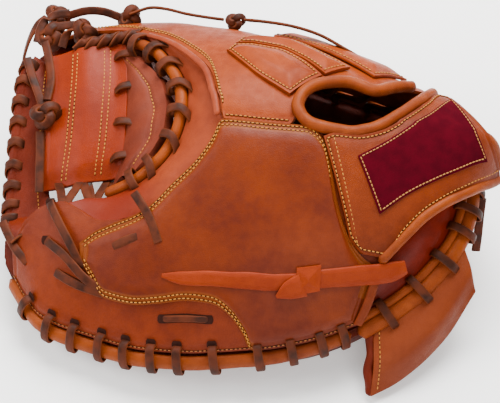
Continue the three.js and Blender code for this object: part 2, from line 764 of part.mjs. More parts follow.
const TIP_LACE_LONG = [
  { x: -120, y: 125, z: 84.5 },
  { x: -108, y: 126, z: 88 },
  { x: -97, y: 125.5, z: 88 },
  { x: -86, y: 122, z: 86.5 },
];

const TIP_TAIL = [
  { x: -134, y: 122, z: 86 },
  { x: -140, y: 115, z: 86 },
  { x: -145, y: 107, z: 81 },
  { x: -149, y: 101, z: 70 },
  { x: -150.5, y: 98, z: 60 },
];

const HEEL_TAIL = [
  { x: 147, y: -7.5, z: 58 },
  { x: 146, y: -14, z: 46 },
  { x: 145.5, y: -19, z: 33 },
  { x: 145, y: -22, z: 22 },
];

const CROTCH_TAIL = [
  { x: -70, f: 0.303 },
  { x: -66.5, f: 0.292 },
  { x: -60, f: 0.268 },
  { x: -55, f: 0.238 },
];

const WEB_TAIL = [
  { x: -134.5, y: 36, z: 71.5 },
  { x: -134, y: 24, z: 67 },
  { x: -134, y: 10, z: 61 },
  { x: -134, y: -1, z: 56 },
];

const WEB_STRIP = [
  { x: -145, y: 88, z: 84 },
  { x: -141, y: 74, z: 82 },
  { x: -136, y: 60, z: 80 },
  { x: -132, y: 48, z: 76.5 },
];

const THUMB_LACE_UPPER = [
  { x: -121.5, f: 0.287 },
  { x: -113, f: 0.247 },
  { x: -105.5, f: 0.208 },
];

const THUMB_LACE_LOWER = [
  { x: -124, f: 0.22 },
  { x: -116.6, f: 0.199 },
  { x: -108, f: 0.182 },
];

const WEB_FOOT_LACE = [
  { x: -122, y: 9, z: 62 },
  { x: -119, y: -6, z: 73 },
  { x: -116, y: -21, z: 79 },
  { x: -111, y: -6, z: 73 },
  { x: -107, y: 9, z: 64.5 },
  { x: -103, y: -6, z: 72 },
  { x: -99, y: -20, z: 78 },
];

const SLIT_UPPER = [
  { x: -84, f: 0.229 },
  { x: -76, f: 0.24 },
  { x: -67, f: 0.249 },
];

const SLIT_LOWER = [
  { x: -53.9, f: 0.112 },
  { x: -40, f: 0.116 },
  { x: -27.5, f: 0.115 },
];

const LOOP_KEEPER = [
  { x0: 27, f0: 0.158, x1: 28, f1: 0.199 },
  { x0: 41, f0: 0.158, x1: 42, f1: 0.199 },
];

const WRIST_BINDING = [
  { x: 65, f: 0.05 },
  { x: 72, f: 0.11 },
  { x: 77, f: 0.165 },
];

const WEB_TIES = [0.12, 0.37, 0.64, 0.87];
const TOP_KNOT = { x: -9.5, y: 112, z: 93 };
const TIP_KNOT = { x: -127, y: 124, z: 85 };
const SIDE_KNOT = { x: -79, y: 121, z: 86 };
const WEB_KNOT = { x: -131, y: 44, z: 79 };

// Materials
const leather = (color, roughness = 0.55) =>
  new THREE.MeshStandardMaterial({ color, roughness, metalness: 0 });
const backLeather = leather(0xa04a26);
const tipLeather = leather(0x9c3f1e);
const fingerLeather = leather(0xb0603e);
const cuffLeather = leather(0xb35c42);
const rollLeather = leather(0xb5622f);
const palmLeather = leather(0x8c4226, 0.65);
const webLeather = leather(0xb2542c);
const padLeather = leather(0x84443a);
const laceLeather = leather(0x5a3320, 0.7);
const strapLeather = leather(0xb9552c);
const patchCloth = leather(0x6a1034, 0.95);

const mitt = new THREE.Group();

function add(name, solid, material) {
  const mesh = solid.getMesh();
  const geometry = new THREE.BufferGeometry();
  geometry.setAttribute('position', new THREE.BufferAttribute(Float32Array.from(mesh.vertProperties), 3));
  geometry.setIndex(Array.from(mesh.triVerts));
  const piece = new THREE.Mesh(geometry, material);
  piece.name = name;
  mitt.add(piece);
}

const routeOnBack = (rows, lift) => rows.map(row => onBack(row.x, row.f, lift));
const asRow = point => ({ x: point.x, y: point.y, z: point.z });

// Edges bound with a welt
const thumbWelt = weltOn(stations(-151, 62, 20).map(x => rimFrame(x, false)));
const heelWelt = weltOn(stations(0, 1, 14).map(heelFrame));
const fingerWelt = weltOn(stations(-130, 133, 20).map(x => rimFrame(x, true)));
const openingRoll = roundTube(routeOnBack(OPENING_EDGE, 2), ROLL_RADIUS, 28, 6);
const heelRoll = roundTube(routeOnBack(HEEL_EDGE, -1), ROLL_RADIUS + 1, 12, 6);
const crotchWelt = roundTube(notchPoints.slice(CROTCH_START, CROTCH_END + 1), CROTCH_WELT_RADIUS, 22, 6);

// Whip lacing
const thumbLace = whipLace(THUMB_HOLES.map(x => rimFrame(x, false)));
const heelLace = whipLace(HEEL_HOLES.map(heelFrame));
const fingerLace = whipLace(FINGER_HOLES.map(x => rimFrame(x, true)));

function crotchFrame(t) {
  const places = notchPoints.slice(CROTCH_START, CROTCH_END + 1);
  const route = new THREE.CatmullRomCurve3(places, false, 'centripetal');
  const edge = route.getPointAt(t);
  const along = route.getTangentAt(t);
  const out = along.clone().cross(vector(0, 0, 1)).normalize();
  return { edge, out, along, up: out.clone().cross(along).normalize() };
}

function webRimFrame(t) {
  const row = between(WEB_RIM_OUTER, t * (WEB_RIM_OUTER.length - 1));
  const inside = between(WEB_RIM_INNER, t * (WEB_RIM_INNER.length - 1));
  const ahead = between(WEB_RIM_OUTER, (t + 0.02) * (WEB_RIM_OUTER.length - 1));
  const edge = vector(row.x, row.y, row.z);
  const out = edge.clone().sub(vector(inside.x, inside.y, inside.z)).normalize();
  const along = vector(ahead.x, ahead.y, ahead.z).sub(edge).normalize();
  const up = along.clone().cross(out).normalize();
  return { edge, out, along, up: up.z < 0 ? up.negate() : up };
}

const crotchLace = whipLace(CROTCH_TURNS.map(crotchFrame), roundTurn(8.5, 6.4));
const webLace = whipLace(WEB_TURNS.map(webRimFrame), roundTurn(6.5, 4.2));

// Leather of the back
const strapRollTube = roundTube(routeOnBack(STRAP_LOWER_EDGE, STRAP_LIFT + 1), ROLL_RADIUS - 0.8, 12, 6);
const strapRoll = cut(strapRollTube, heelRoll);
const strap = cut(panel(WRIST_STRAP, STRAP_LIFT, STRAP_LIFT + LEATHER, 14, 4), openingRoll, strapRoll);
const patch = cut(panel(PATCH, PATCH_LIFT, PATCH_LIFT + PATCH_THICKNESS, 10, 3), strap);
const thumbShell = cut(
  panel(THUMB_SHELL, -LEATHER, 0, 20, 7),
  thumbLace, thumbWelt, openingRoll, crotchLace,
);
const thumbPanel = cut(
  panel(THUMB_PANEL, GAP * 2, GAP * 2 + TOP_LEATHER, 20, 7),
  thumbLace, openingRoll, strapRoll,
);
const fingerShell = cut(
  panel(FINGER_SHELL, -LEATHER, 0, 20, 7),
  fingerLace, fingerWelt, crotchLace, openingRoll, heelRoll,
);
const heelPanel = cut(
  sheetBetween(routeOnBack(HEEL_PANEL_TOP, -3).map(asRow), HEEL_PANEL_FOOT, HEEL_PAD, 4, 10, 4),
  heelRoll, fingerWelt, heelWelt, fingerLace, fingerShell,
);
const strip = cut(onBackStrip(CROTCH_STRIP, GAP + 0.8, 6, 1.6, 12), thumbPanel, crotchLace);
const stall = ribs => cut(panel(ribs, GAP, GAP + STALL_THICKNESS, 8, 3), openingRoll, strip);
const littleStall = stall(LITTLE_STALL);

// Crotch and web
const cuffTop = CUFF_TOP.map(row => asRow(onBack(row.x, row.f, -LEATHER - CUFF_DROP)));
const cuffBottom = stations(0, 1, 14).map(t => {
  const frame = crotchFrame(t);
  return asRow(frame.edge.addScaledVector(frame.out, WELT_ROOM));
});
const cuff = cut(
  sheetBetween(cuffTop, cuffBottom, CUFF_THICKNESS, CUFF_BULGE, 13, 2),
  crotchLace, thumbShell, fingerShell,
);
const webPanel = cut(sheetBetween(WEB_LEFT, WEB_RIGHT, WEB_THICKNESS, 2, 6, 6), webLace);
const webRim = cut(sheetBetween(WEB_RIM_INNER, WEB_RIM_OUTER, WEB_THICKNESS, 0, 8, 1), webLace);
const webPad = cut(
  sheetBetween(WEB_PAD_LEFT, WEB_PAD_RIGHT, WEB_PAD_THICKNESS, 3, 12, 4),
  crotchLace, webPanel,
);

// Padded palm and heel
const palm = cut(
  wall(palmPoint, 22, 11).subtract(notchPrism()),
  thumbWelt, heelWelt, fingerWelt, crotchWelt, thumbLace, heelLace, fingerLace, crotchLace,
);
const lobe = cut(sheetBetween(LOBE_TOP, LOBE_BOTTOM, 6, 3, 8, 4), palm, heelWelt, heelLace, thumbLace);

add('palm_pad', palm, palmLeather);
add('heel_lobe', lobe, fingerLeather);
add('thumb_shell', thumbShell, tipLeather);
add('thumb_panel', thumbPanel, backLeather);
add('finger_shell', fingerShell, fingerLeather);
add('heel_panel', heelPanel, rollLeather);
add('crotch_cuff', cuff, cuffLeather);
add('crotch_strip', strip, fingerLeather);
add('middle_stall', stall(MIDDLE_STALL), fingerLeather);
add('ring_stall', stall(RING_STALL), fingerLeather);
add('little_stall', littleStall, fingerLeather);
add('wrist_strap', strap, rollLeather);
add('strap_roll', strapRoll, rollLeather);
add('opening_roll', openingRoll, rollLeather);
add('heel_roll', heelRoll, rollLeather);
add('patch', patch, patchCloth);
add('crotch_welt', crotchWelt, rollLeather);
add('thumb_welt', thumbWelt, rollLeather);
add('heel_welt', heelWelt, rollLeather);
add('finger_welt', fingerWelt, rollLeather);
add('web_panel', webPanel, webLeather);
add('web_rim', webRim, tipLeather);
add('web_pad', webPad, padLeather);
add('thumb_lace', thumbLace.solid, laceLeather);
add('heel_lace', heelLace.solid, laceLeather);
add('finger_lace', fingerLace.solid, laceLeather);
add('crotch_lace', crotchLace.solid, laceLeather);
add('web_lace', webLace.solid, laceLeather);

// Thumb loop, its keeper and the bound wrist edge of the thumb shell
const keeper = panel(LOOP_KEEPER, KEEPER_LIFT, KEEPER_LIFT + LOOP_STRAP_THICKNESS, 2, 3);
const loopStrap = onBackStrip(THUMB_LOOP, LOOP_LIFT, LOOP_STRAP_WIDTH, LOOP_STRAP_THICKNESS, 14);
const wristBinding = onBackStrip(WRIST_BINDING, TOP_LIFT + 1.1, 5, 1.6, 5);
add('thumb_loop', cut(loopStrap, strapRoll, thumbPanel, strap), strapLeather);
add('loop_keeper', keeper, strapLeather);
add('wrist_binding', cut(wristBinding, thumbPanel, strapRoll, loopStrap, thumbLace), rollLeather);

// Laces threaded through the thumb
const threaded = (rows, lift) => onBackStrip(rows, lift, LACE_WIDTH, LACE_THICKNESS, 4);
add('thumb_tip_lace_upper', cut(threaded(THUMB_LACE_UPPER, SHELL_LACE_LIFT), thumbPanel), laceLeather);
add('thumb_tip_lace_lower', cut(threaded(THUMB_LACE_LOWER, SHELL_LACE_LIFT), thumbPanel), laceLeather);
add('thumb_lace_upper', cut(threaded(SLIT_UPPER, PANEL_LACE_LIFT), thumbPanel), laceLeather);
add('thumb_lace_lower', cut(threaded(SLIT_LOWER, SHELL_LACE_LIFT), thumbShell, thumbPanel), laceLeather);

// Ties from the web to its pad and to the thumb
WEB_TIES.forEach((t, k) => {
  const row = between(WEB_RIGHT, t * (WEB_RIGHT.length - 1));
  const route = [-6, 0, 7].map(x => ({ x: row.x + x, y: row.y, z: row.z + TIE_RISE + x * 0.15 }));
  add(`web_tie_${k + 1}`, cut(lace(route, vector(0, 1, 0), 4), webPanel, webPad), laceLeather);
});
const webFootLace = cut(lace(WEB_FOOT_LACE, vector(1, 0, 0), 20), webPanel, palm, thumbShell, cuff);
add('web_foot_lace', webFootLace, laceLeather);

// Knotted laces along the finger side
function knot(place, radius, thickness) {
  const geometry = new THREE.TorusKnotGeometry(radius, thickness, 22, 4, 2, 3);
  geometry.rotateX(0.9);
  geometry.translate(place.x, place.y, place.z);
  return solidOfGeometry(geometry);
}
const topKnot = knot(TOP_KNOT, 4.4, 1.9);
const tipKnot = knot(TIP_KNOT, 5.6, 2.4);
const sideKnot = knot(SIDE_KNOT, 5.6, 2.4);
const webKnot = knot(WEB_KNOT, 6, 2.4);
const topLace = lace(TOP_LACE, vector(0, 0.6, -0.8), 8);
const topLaceEnd = lace(TOP_LACE_END, vector(0, 0.6, -0.8), 8);
const tipLace = lace(TIP_LACE_LONG, vector(0, 0.6, 0.8), 5);
const webStrip = lace(WEB_STRIP, vector(1, 0, 0), 5);
add('top_knot', cut(topKnot, fingerShell), laceLeather);
add('tip_knot', cut(tipKnot, fingerLace, fingerWelt), laceLeather);
add('side_knot', cut(sideKnot, fingerShell, fingerLace, fingerWelt), laceLeather);
add('web_knot', cut(webKnot, webPanel, webRim, webLace), laceLeather);
add('top_lace', cut(topLace, topKnot, sideKnot), laceLeather);
add('top_lace_end', cut(topLaceEnd, topKnot, littleStall), laceLeather);
add('tip_lace', cut(tipLace, tipKnot, sideKnot, topLace), laceLeather);
add('web_strip', cut(webStrip, webKnot, webPanel, webRim, webLace), laceLeather);
add('web_tail', cut(lace(WEB_TAIL, vector(1, 0, 0), 6), webKnot, webPanel, webRim), laceLeather);
add('tip_tail', cut(lace(TIP_TAIL, vector(0, 1, 0), 6), tipKnot, tipLace), laceLeather);
add('crotch_tail', threaded(CROTCH_TAIL, TAIL_LIFT), laceLeather);
add('heel_tail', cut(lace(HEEL_TAIL, vector(1, 0, 0), 6), heelPanel, heelWelt, heelLace), laceLeather);

mitt.position.set(-MIDDLE_X, -MIDDLE_Y, 0);
mitt.updateMatrixWorld(true);

export default mitt;
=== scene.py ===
import math

import bpy
import numpy as np
from mathutils import Matrix, Vector, noise


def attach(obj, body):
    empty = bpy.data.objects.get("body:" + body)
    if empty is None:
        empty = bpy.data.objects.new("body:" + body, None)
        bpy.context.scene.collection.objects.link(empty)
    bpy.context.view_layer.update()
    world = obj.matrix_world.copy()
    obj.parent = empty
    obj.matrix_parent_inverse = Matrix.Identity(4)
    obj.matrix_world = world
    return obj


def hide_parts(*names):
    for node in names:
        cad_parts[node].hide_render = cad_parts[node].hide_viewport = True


bl_info = {
    "name": "Catcher's mitt",
    "version": (1, 0, 0),
    "blender": (4, 5, 0),
    "location": "3D View > Sidebar > Mitt",
    "description": "Leather, lacing and stitching of a catcher's mitt around its solids",
    "category": "Object",
}

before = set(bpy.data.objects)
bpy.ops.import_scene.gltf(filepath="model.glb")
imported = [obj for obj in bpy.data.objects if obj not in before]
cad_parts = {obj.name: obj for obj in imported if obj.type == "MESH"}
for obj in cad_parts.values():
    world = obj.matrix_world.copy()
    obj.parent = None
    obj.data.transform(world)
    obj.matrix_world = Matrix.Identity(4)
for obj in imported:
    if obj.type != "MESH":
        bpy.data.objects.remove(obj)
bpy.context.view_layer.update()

# Sizes in metres, in the frame in which the mitt was drawn
GAP = 0.0003
LEATHER = 0.0022
TOP_LEATHER = 0.0018
STALL_WALL = 0.0022
WELT_HEIGHT = 0.010
WELT_THICKNESS = 0.0065
WELT_ROOM = 0.0052
CROTCH_WELT_SIZE = 0.0076
CUFF_THICKNESS = 0.003
CUFF_BULGE = 0.0015
WEB_THICKNESS = 0.0036
WEB_BULGE = 0.002
WEB_PAD_THICKNESS = 0.008
WEB_PAD_BULGE = 0.003
LOBE_THICKNESS = 0.006
LOBE_BULGE = 0.003
LINING_THICKNESS = 0.003
LINING_BULGE = 0.003
HEEL_PAD = 0.004
HEEL_BULGE = 0.004
PATCH_THICKNESS = 0.0012
LOOP_STRAP_WIDTH = 0.012
LOOP_STRAP_THICKNESS = 0.0024
PALM_WALL = 0.006
PALM_INSET = 0.003
NOTCH_REACH = 0.020
HOLE_SIZE = 0.0062
HOLE_REACH = 0.0022
HOLE_INSET = 0.0112
HEEL_SINK = 0.003
CUFF_SINK = LEATHER + 0.0012
PORE = 0.0011

# Heights above the back
STALL_TOP = 0.0027
TOP_LIFT = TOP_LEATHER + 2 * GAP
LOOP_LIFT = TOP_LIFT + LOOP_STRAP_THICKNESS / 2 + 2 * GAP
KEEPER_LIFT = LOOP_LIFT + LOOP_STRAP_THICKNESS / 2 + 2 * GAP
KEEPER_TOP = KEEPER_LIFT + LOOP_STRAP_THICKNESS - 2 * GAP
STRAP_LIFT = TOP_LEATHER + 3 * GAP
STRAP_TOP = STRAP_LIFT + LEATHER
PATCH_TOP = STRAP_TOP + 3 * GAP + PATCH_THICKNESS
STITCH_RISE = 0.0002
HOLE_RISE = 0.0003

# Distances of rows of stitches from the leather's edges
PANEL_ROWS = (0.0017, 0.0045)
SHELL_ROW = 0.003
FINGER_ROWS = (0.0068, 0.0098)
STALL_ROW = 0.0022
STRAP_ROWS = (0.0024, 0.0092)
PATCH_ROW = 0.0014

# How square the back's two halves are, and the part of the notch that the crotch welt follows
NEAR_ROUNDNESS = 1.4
FAR_ROUNDNESS = 2.1
CROTCH_START = 6
CROTCH_END = 17

# Palm: its ends and middle across the mitt, how square its outline is, where its rim begins in parts of
# the way out, and how far its faces lie under the rim and under the lip of the notch
PALM_ENDS = (-0.156, 0.137)
PALM_MIDDLE = -0.009
PALM_HALF = 0.148
PALM_POWERS = (2.4, 6)
PALM_EDGE = 0.86
PALM_DROPS = (0.012, 0.003)
PALM_LIP_DROP = 0.005

# Mouth of the notch that is cut from the palm: its corners in plan and its heights
NOTCH_MOUTH = ((-0.22, -0.024), (-0.22, 0.094))
NOTCH_HEIGHTS = (-0.04, 0.22)

# Unevenness of leather: size of its waves, where they fade towards edges, and forms beside the edges
WAVE_SIZE = 0.03
WAVE_FADE = (0.004, 0.02)
SHEET_WAVE_SIZE = 0.025
SHEET_WAVE_FADE = (0, 0.01)
ROLL_WAVE_SIZE = 0.011
PUFF_REACH = 0.012
GROOVE_WIDTH = 0.0009
BEVEL_ANGLE = 55

# Steps that directions are measured over: in metres, and in parts of an edge
STEP = 0.001
PART = 0.02

# Points on a seam, and across the panel beside it
SEAM_STEPS = 60
SHEET_SEAM_STEPS = 50
WIDTH_STEPS = 9

# Camera and light
CAMERA_TARGET = (0.00025, -0.0088, 0.045)
CAMERA_ELEVATION = 52
CAMERA_REACH = 1.4
CAMERA_LENS = 157.5
LIGHT_TARGET = (0, 0, 0.04)
WORLD_STRENGTH = 0.5
LIGHTS = (
    # name, place, power and size
    ("Overhead", (0.15, 0.75, 1.35), 90, 1.1),
    ("Front", (0.4, -1.4, 1.0), 22, 1.4),
    ("Side", (-1.3, -0.2, 1.1), 30, 1.0),
)

# Plan middle of the mitt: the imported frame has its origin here
MIDDLE = np.array((-0.00025, 0.0088, 0.0))
UP = np.array((0.0, 0.0, 1.0))


def table(columns, rows):
    """Rows of numbers under named columns."""
    return dict(zip(columns.split(), np.array(rows, float).T))


BACK = table("x near_y near_z far_y far_z crown_y crown_z", [
    (-0.158, -0.034, 0.032, 0.07, 0.068, 0.028, 0.07),
    (-0.148, -0.053, 0.026, 0.095, 0.069, 0.034, 0.08),
    (-0.131, -0.078, 0.022, 0.115, 0.064, 0.038, 0.092),
    (-0.099, -0.094, 0.022, 0.129, 0.055, 0.037, 0.107),
    (-0.064, -0.1065, 0.025, 0.134, 0.046, 0.032, 0.116),
    (-0.032, -0.11, 0.027, 0.131, 0.039, 0.027, 0.122),
    (0, -0.109, 0.029, 0.124, 0.034, 0.02, 0.126),
    (0.032, -0.104, 0.031, 0.115, 0.031, 0.015, 0.126),
    (0.061, -0.094, 0.034, 0.102, 0.032, 0.01, 0.122),
    (0.083, -0.084, 0.038, 0.091, 0.034, 0.006, 0.117),
    (0.11, -0.065, 0.046, 0.076, 0.036, 0.004, 0.111),
    (0.133, -0.038, 0.055, 0.06, 0.04, 0.005, 0.105),
    (0.15, -0.01, 0.06, 0.044, 0.046, 0.009, 0.096),
    (0.16, 0.006, 0.066, 0.026, 0.06, 0.015, 0.082),
])

PALM = table("out under over", [
    (0, 0.056, 0.07),
    (0.25, 0.052, 0.067),
    (0.45, 0.034, 0.057),
    (0.6, 0.008, 0.044),
    (0.68, -0.002, 0.036),
    (0.84, -0.012, 0.03),
    (0.95, -0.002, 0.028),
    (1, 0.014, 0.027),
])

NOTCH = table("x y z", [
    (-0.158, -0.024, 0.038),
    (-0.149, -0.023, 0.046),
    (-0.139, -0.021, 0.06),
    (-0.128, -0.019, 0.069),
    (-0.118, -0.018, 0.073),
    (-0.104, -0.017, 0.071),
    (-0.091, -0.014, 0.07),
    (-0.081, -0.013, 0.075),
    (-0.072, -0.011, 0.08),
    (-0.063, -0.007, 0.086),
    (-0.054, 0, 0.092),
    (-0.048, 0.009, 0.097),
    (-0.044, 0.02, 0.102),
    (-0.043, 0.034, 0.1055),
    (-0.045, 0.048, 0.106),
    (-0.052, 0.063, 0.105),
    (-0.063, 0.079, 0.103),
    (-0.077, 0.089, 0.098),
    (-0.098, 0.095, 0.088),
    (-0.113, 0.098, 0.08),
    (-0.128, 0.096, 0.074),
    (-0.14, 0.094, 0.07),
])

TURN = table("out up on", [
    (-0.009, -0.0048, 0),
    (-0.009, 0.0042, 0),
    (0.0038, 0.0053, 0.02),
    (0.0096, 0.0008, 0.05),
    (0.0062, -0.0048, 0.08),
    (-0.0045, -0.0052, 0.12),
])

THUMB_SHELL = table("x0 f0 x1 f1", [
    (-0.149, 0.05, -0.15, 0.165),
    (-0.145, 0.042, -0.14, 0.25),
    (-0.136, 0.042, -0.129, 0.28),
    (-0.122, 0.042, -0.118, 0.288),
    (-0.106, 0.042, -0.107, 0.277),
    (-0.092, 0.042, -0.094, 0.262),
    (-0.078, 0.042, -0.08, 0.266),
    (-0.064, 0.042, -0.063, 0.284),
    (-0.05, 0.042, -0.046, 0.322),
    (-0.036, 0.042, -0.0313, 0.356),
    (-0.024, 0.042, -0.0221, 0.39),
    (-0.012, 0.042, -0.0165, 0.4195),
    (0.004, 0.042, 0.002, 0.4195),
    (0.022, 0.042, 0.02, 0.4195),
    (0.038, 0.042, 0.034, 0.4195),
    (0.05, 0.042, 0.05, 0.395),
    (0.058, 0.042, 0.062, 0.34),
    (0.063, 0.042, 0.072, 0.26),
    (0.066, 0.042, 0.08, 0.195),
])

THUMB_PANEL = table("x0 f0 x1 f1", [
    (-0.104, 0.2, -0.1045, 0.226),
    (-0.097, 0.172, -0.095, 0.245),
    (-0.0887, 0.146, -0.085, 0.258),
    (-0.0736, 0.144, -0.0632, 0.283),
    (-0.0551, 0.15, -0.046, 0.32),
    (-0.0397, 0.156, -0.0313, 0.354),
    (-0.0232, 0.15, -0.0221, 0.388),
    (-0.011, 0.125, -0.0165, 0.418),
    (-0.0031, 0.086, -0.008, 0.4195),
    (0.002, 0.046, 0.004, 0.4195),
    (0.02, 0.044, 0.02, 0.4195),
    (0.036, 0.044, 0.034, 0.4195),
    (0.05, 0.044, 0.044, 0.396),
    (0.057, 0.044, 0.051, 0.3),
    (0.062, 0.044, 0.062, 0.222),
    (0.0647, 0.046, 0.076, 0.172),
])

FINGER_SHELL = table("x0 f0 x1 f1", [
    (-0.126, 0.835, -0.133, 0.982),
    (-0.112, 0.8, -0.118, 0.982),
    (-0.098, 0.762, -0.104, 0.982),
    (-0.078, 0.718, -0.09, 0.982),
    (-0.063, 0.678, -0.076, 0.982),
    (-0.0517, 0.654, -0.063, 0.982),
    (-0.0373, 0.605, -0.048, 0.982),
    (-0.0237, 0.548, -0.034, 0.982),
    (-0.0185, 0.477, -0.02, 0.982),
    (-0.0154, 0.4225, -0.006, 0.982),
    (0.0061, 0.4225, 0.01, 0.982),
    (0.024, 0.4225, 0.026, 0.982),
    (0.0295, 0.47, 0.04, 0.982),
    (0.032, 0.515, 0.052, 0.982),
    (0.042, 0.55, 0.064, 0.982),
    (0.056, 0.577, 0.078, 0.982),
    (0.074, 0.584, 0.092, 0.982),
    (0.094, 0.646, 0.106, 0.982),
    (0.114, 0.706, 0.12, 0.982),
])

MIDDLE_STALL = table("x0 f0 x1 f1", [
    (-0.0145, 0.612, -0.01, 0.634),
    (-0.006, 0.582, 0.003, 0.648),
    (0.005, 0.548, 0.0175, 0.646),
    (0.0155, 0.526, 0.0315, 0.618),
    (0.0245, 0.508, 0.0445, 0.574),
])

RING_STALL = table("x0 f0 x1 f1", [
    (-0.009, 0.641, -0.0045, 0.672),
    (0.003, 0.655, 0.0075, 0.704),
    (0.0175, 0.653, 0.0255, 0.716),
    (0.0315, 0.625, 0.044, 0.678),
    (0.0465, 0.582, 0.0625, 0.646),
])

LITTLE_STALL = table("x0 f0 x1 f1", [
    (0.015, 0.742, 0.02, 0.85),
    (0.03, 0.744, 0.04, 0.87),
    (0.046, 0.722, 0.062, 0.85),
    (0.062, 0.69, 0.084, 0.81),
    (0.078, 0.65, 0.1, 0.755),
])

WRIST_STRAP = table("x0 f0 x1 f1", [
    (0.06, 0.235, 0.0445, 0.4),
    (0.069, 0.203, 0.052, 0.411),
    (0.0814, 0.186, 0.0643, 0.414),
    (0.0919, 0.219, 0.0786, 0.438),
    (0.105, 0.248, 0.088, 0.473),
    (0.118, 0.258, 0.099, 0.53),
    (0.1345, 0.247, 0.109, 0.585),
    (0.147, 0.203, 0.117, 0.65),
    (0.1535, 0.162, 0.123, 0.66),
])

PATCH = table("x0 f0 x1 f1", [
    (0.0776, 0.269, 0.0648, 0.37),
    (0.095, 0.298, 0.08, 0.406),
    (0.11, 0.315, 0.094, 0.456),
    (0.127, 0.325, 0.1095, 0.534),
    (0.143, 0.325, 0.1245, 0.632),
])

OPENING_EDGE = table("x f", [
    (0.1165, 0.69),
    (0.1045, 0.588),
    (0.096, 0.542),
    (0.083, 0.478),
    (0.072, 0.438),
    (0.061, 0.422),
    (0.0489, 0.42),
    (0.0379, 0.424),
    (0.0315, 0.442),
    (0.0294, 0.468),
    (0.0315, 0.507),
    (0.038, 0.534),
    (0.0497, 0.56),
    (0.0623, 0.58),
    (0.076, 0.579),
    (0.09, 0.625),
    (0.104, 0.678),
])

STRAP_LOWER_EDGE = table("x f", [
    (0.078, 0.181),
    (0.0919, 0.213),
    (0.105, 0.241),
    (0.118, 0.252),
    (0.1345, 0.24),
    (0.147, 0.195),
    (0.154, 0.15),
])

HEEL_EDGE = table("x f", [
    (0.122, 0.685),
    (0.1305, 0.625),
    (0.141, 0.54),
    (0.1495, 0.43),
    (0.154, 0.31),
    (0.156, 0.18),
])

CROTCH_STRIP = table("x f", [
    (-0.02, 0.425),
    (-0.022, 0.478),
    (-0.027, 0.545),
    (-0.039, 0.598),
    (-0.053, 0.645),
    (-0.066, 0.676),
])

CUFF_TOP = table("x f", [
    (-0.116, 0.284),
    (-0.101, 0.262),
    (-0.085, 0.262),
    (-0.0632, 0.28),
    (-0.045, 0.316),
    (-0.03, 0.35),
    (-0.0205, 0.386),
    (-0.0145, 0.42),
    (-0.015, 0.477),
    (-0.02, 0.552),
    (-0.0345, 0.61),
    (-0.05, 0.66),
    (-0.07, 0.71),
])

THUMB_LOOP = table("x f", [
    (-0.053, 0.192),
    (-0.0262, 0.189),
    (0, 0.186),
    (0.0164, 0.179),
    (0.0304, 0.177),
    (0.0439, 0.176),
    (0.06, 0.168),
    (0.0747, 0.16),
    (0.094, 0.15),
])

WEB_LEFT = table("x y z", [
    (-0.133, 0.09, 0.081),
    (-0.1315, 0.062, 0.077),
    (-0.131, 0.032, 0.067),
    (-0.1325, 0.0015, 0.053),
])

WEB_RIGHT = table("x y z", [
    (-0.08, 0.093, 0.092),
    (-0.0785, 0.064, 0.085),
    (-0.079, 0.034, 0.075),
    (-0.082, 0.0057, 0.062),
])

WEB_PAD_RIGHT = table("x y z", [
    (-0.072, 0.082, 0.093),
    (-0.059, 0.064, 0.097),
    (-0.0525, 0.048, 0.099),
    (-0.05, 0.034, 0.098),
    (-0.051, 0.02, 0.095),
    (-0.057, 0.008, 0.088),
    (-0.069, -0.003, 0.077),
])

WEB_PAD_LEFT = table("x y z", [
    (-0.082, 0.088, 0.084),
    (-0.081, 0.072, 0.081),
    (-0.0805, 0.056, 0.0765),
    (-0.0805, 0.042, 0.0715),
    (-0.081, 0.028, 0.067),
    (-0.082, 0.014, 0.0615),
    (-0.084, 0.002, 0.0555),
])

WEB_RIM_OUTER = table("x y z", [
    (-0.141, 0.093, 0.08),
    (-0.1465, 0.076, 0.076),
    (-0.149, 0.0573, 0.068),
    (-0.1505, 0.037, 0.06),
    (-0.152, 0.0177, 0.05),
    (-0.153, -0.0005, 0.042),
    (-0.154, -0.013, 0.036),
])

WEB_RIM_INNER = table("x y z", [
    (-0.13, 0.088, 0.0745),
    (-0.129, 0.068, 0.0715),
    (-0.1285, 0.048, 0.0655),
    (-0.129, 0.027, 0.057),
    (-0.129, 0.009, 0.049),
    (-0.127, -0.003, 0.046),
    (-0.124, -0.013, 0.045),
])

LOBE_TOP = table("x y z", [
    (0.076, -0.09, 0.031),
    (0.089, -0.083, 0.035),
    (0.104, -0.073, 0.04),
    (0.12, -0.058, 0.046),
    (0.133, -0.042, 0.052),
])

LOBE_BOTTOM = table("x y z", [
    (0.074, -0.121, 0.0036),
    (0.088, -0.1135, 0.005),
    (0.104, -0.102, 0.009),
    (0.123, -0.084, 0.017),
    (0.141, -0.062, 0.033),
])

HEEL_RIM = table("x y z", [
    (0.066, -0.093, 0.034),
    (0.083, -0.084, 0.038),
    (0.103, -0.071, 0.044),
    (0.12, -0.054, 0.051),
    (0.132, -0.035, 0.057),
    (0.138, -0.015, 0.061),
    (0.1405, 0.008, 0.062),
    (0.1405, 0.03, 0.058),
    (0.138, 0.048, 0.05),
])

HEEL_PANEL_TOP = table("x f", [
    (0.121, 0.69),
    (0.13, 0.64),
    (0.14, 0.55),
    (0.1485, 0.44),
    (0.153, 0.32),
    (0.154, 0.2),
])

HEEL_PANEL_FOOT = table("x y z", [
    (0.121, 0.068, 0.043),
    (0.131, 0.06, 0.047),
    (0.14, 0.048, 0.056),
    (0.145, 0.03, 0.064),
    (0.1455, 0.01, 0.068),
    (0.143, -0.008, 0.067),
])

TOP_LACE = table("x y z", [
    (-0.079, 0.12, 0.091),
    (-0.066, 0.1232, 0.094),
    (-0.055, 0.1215, 0.0947),
    (-0.0427, 0.1194, 0.0926),
    (-0.03, 0.116, 0.093),
    (-0.017, 0.1145, 0.092),
])

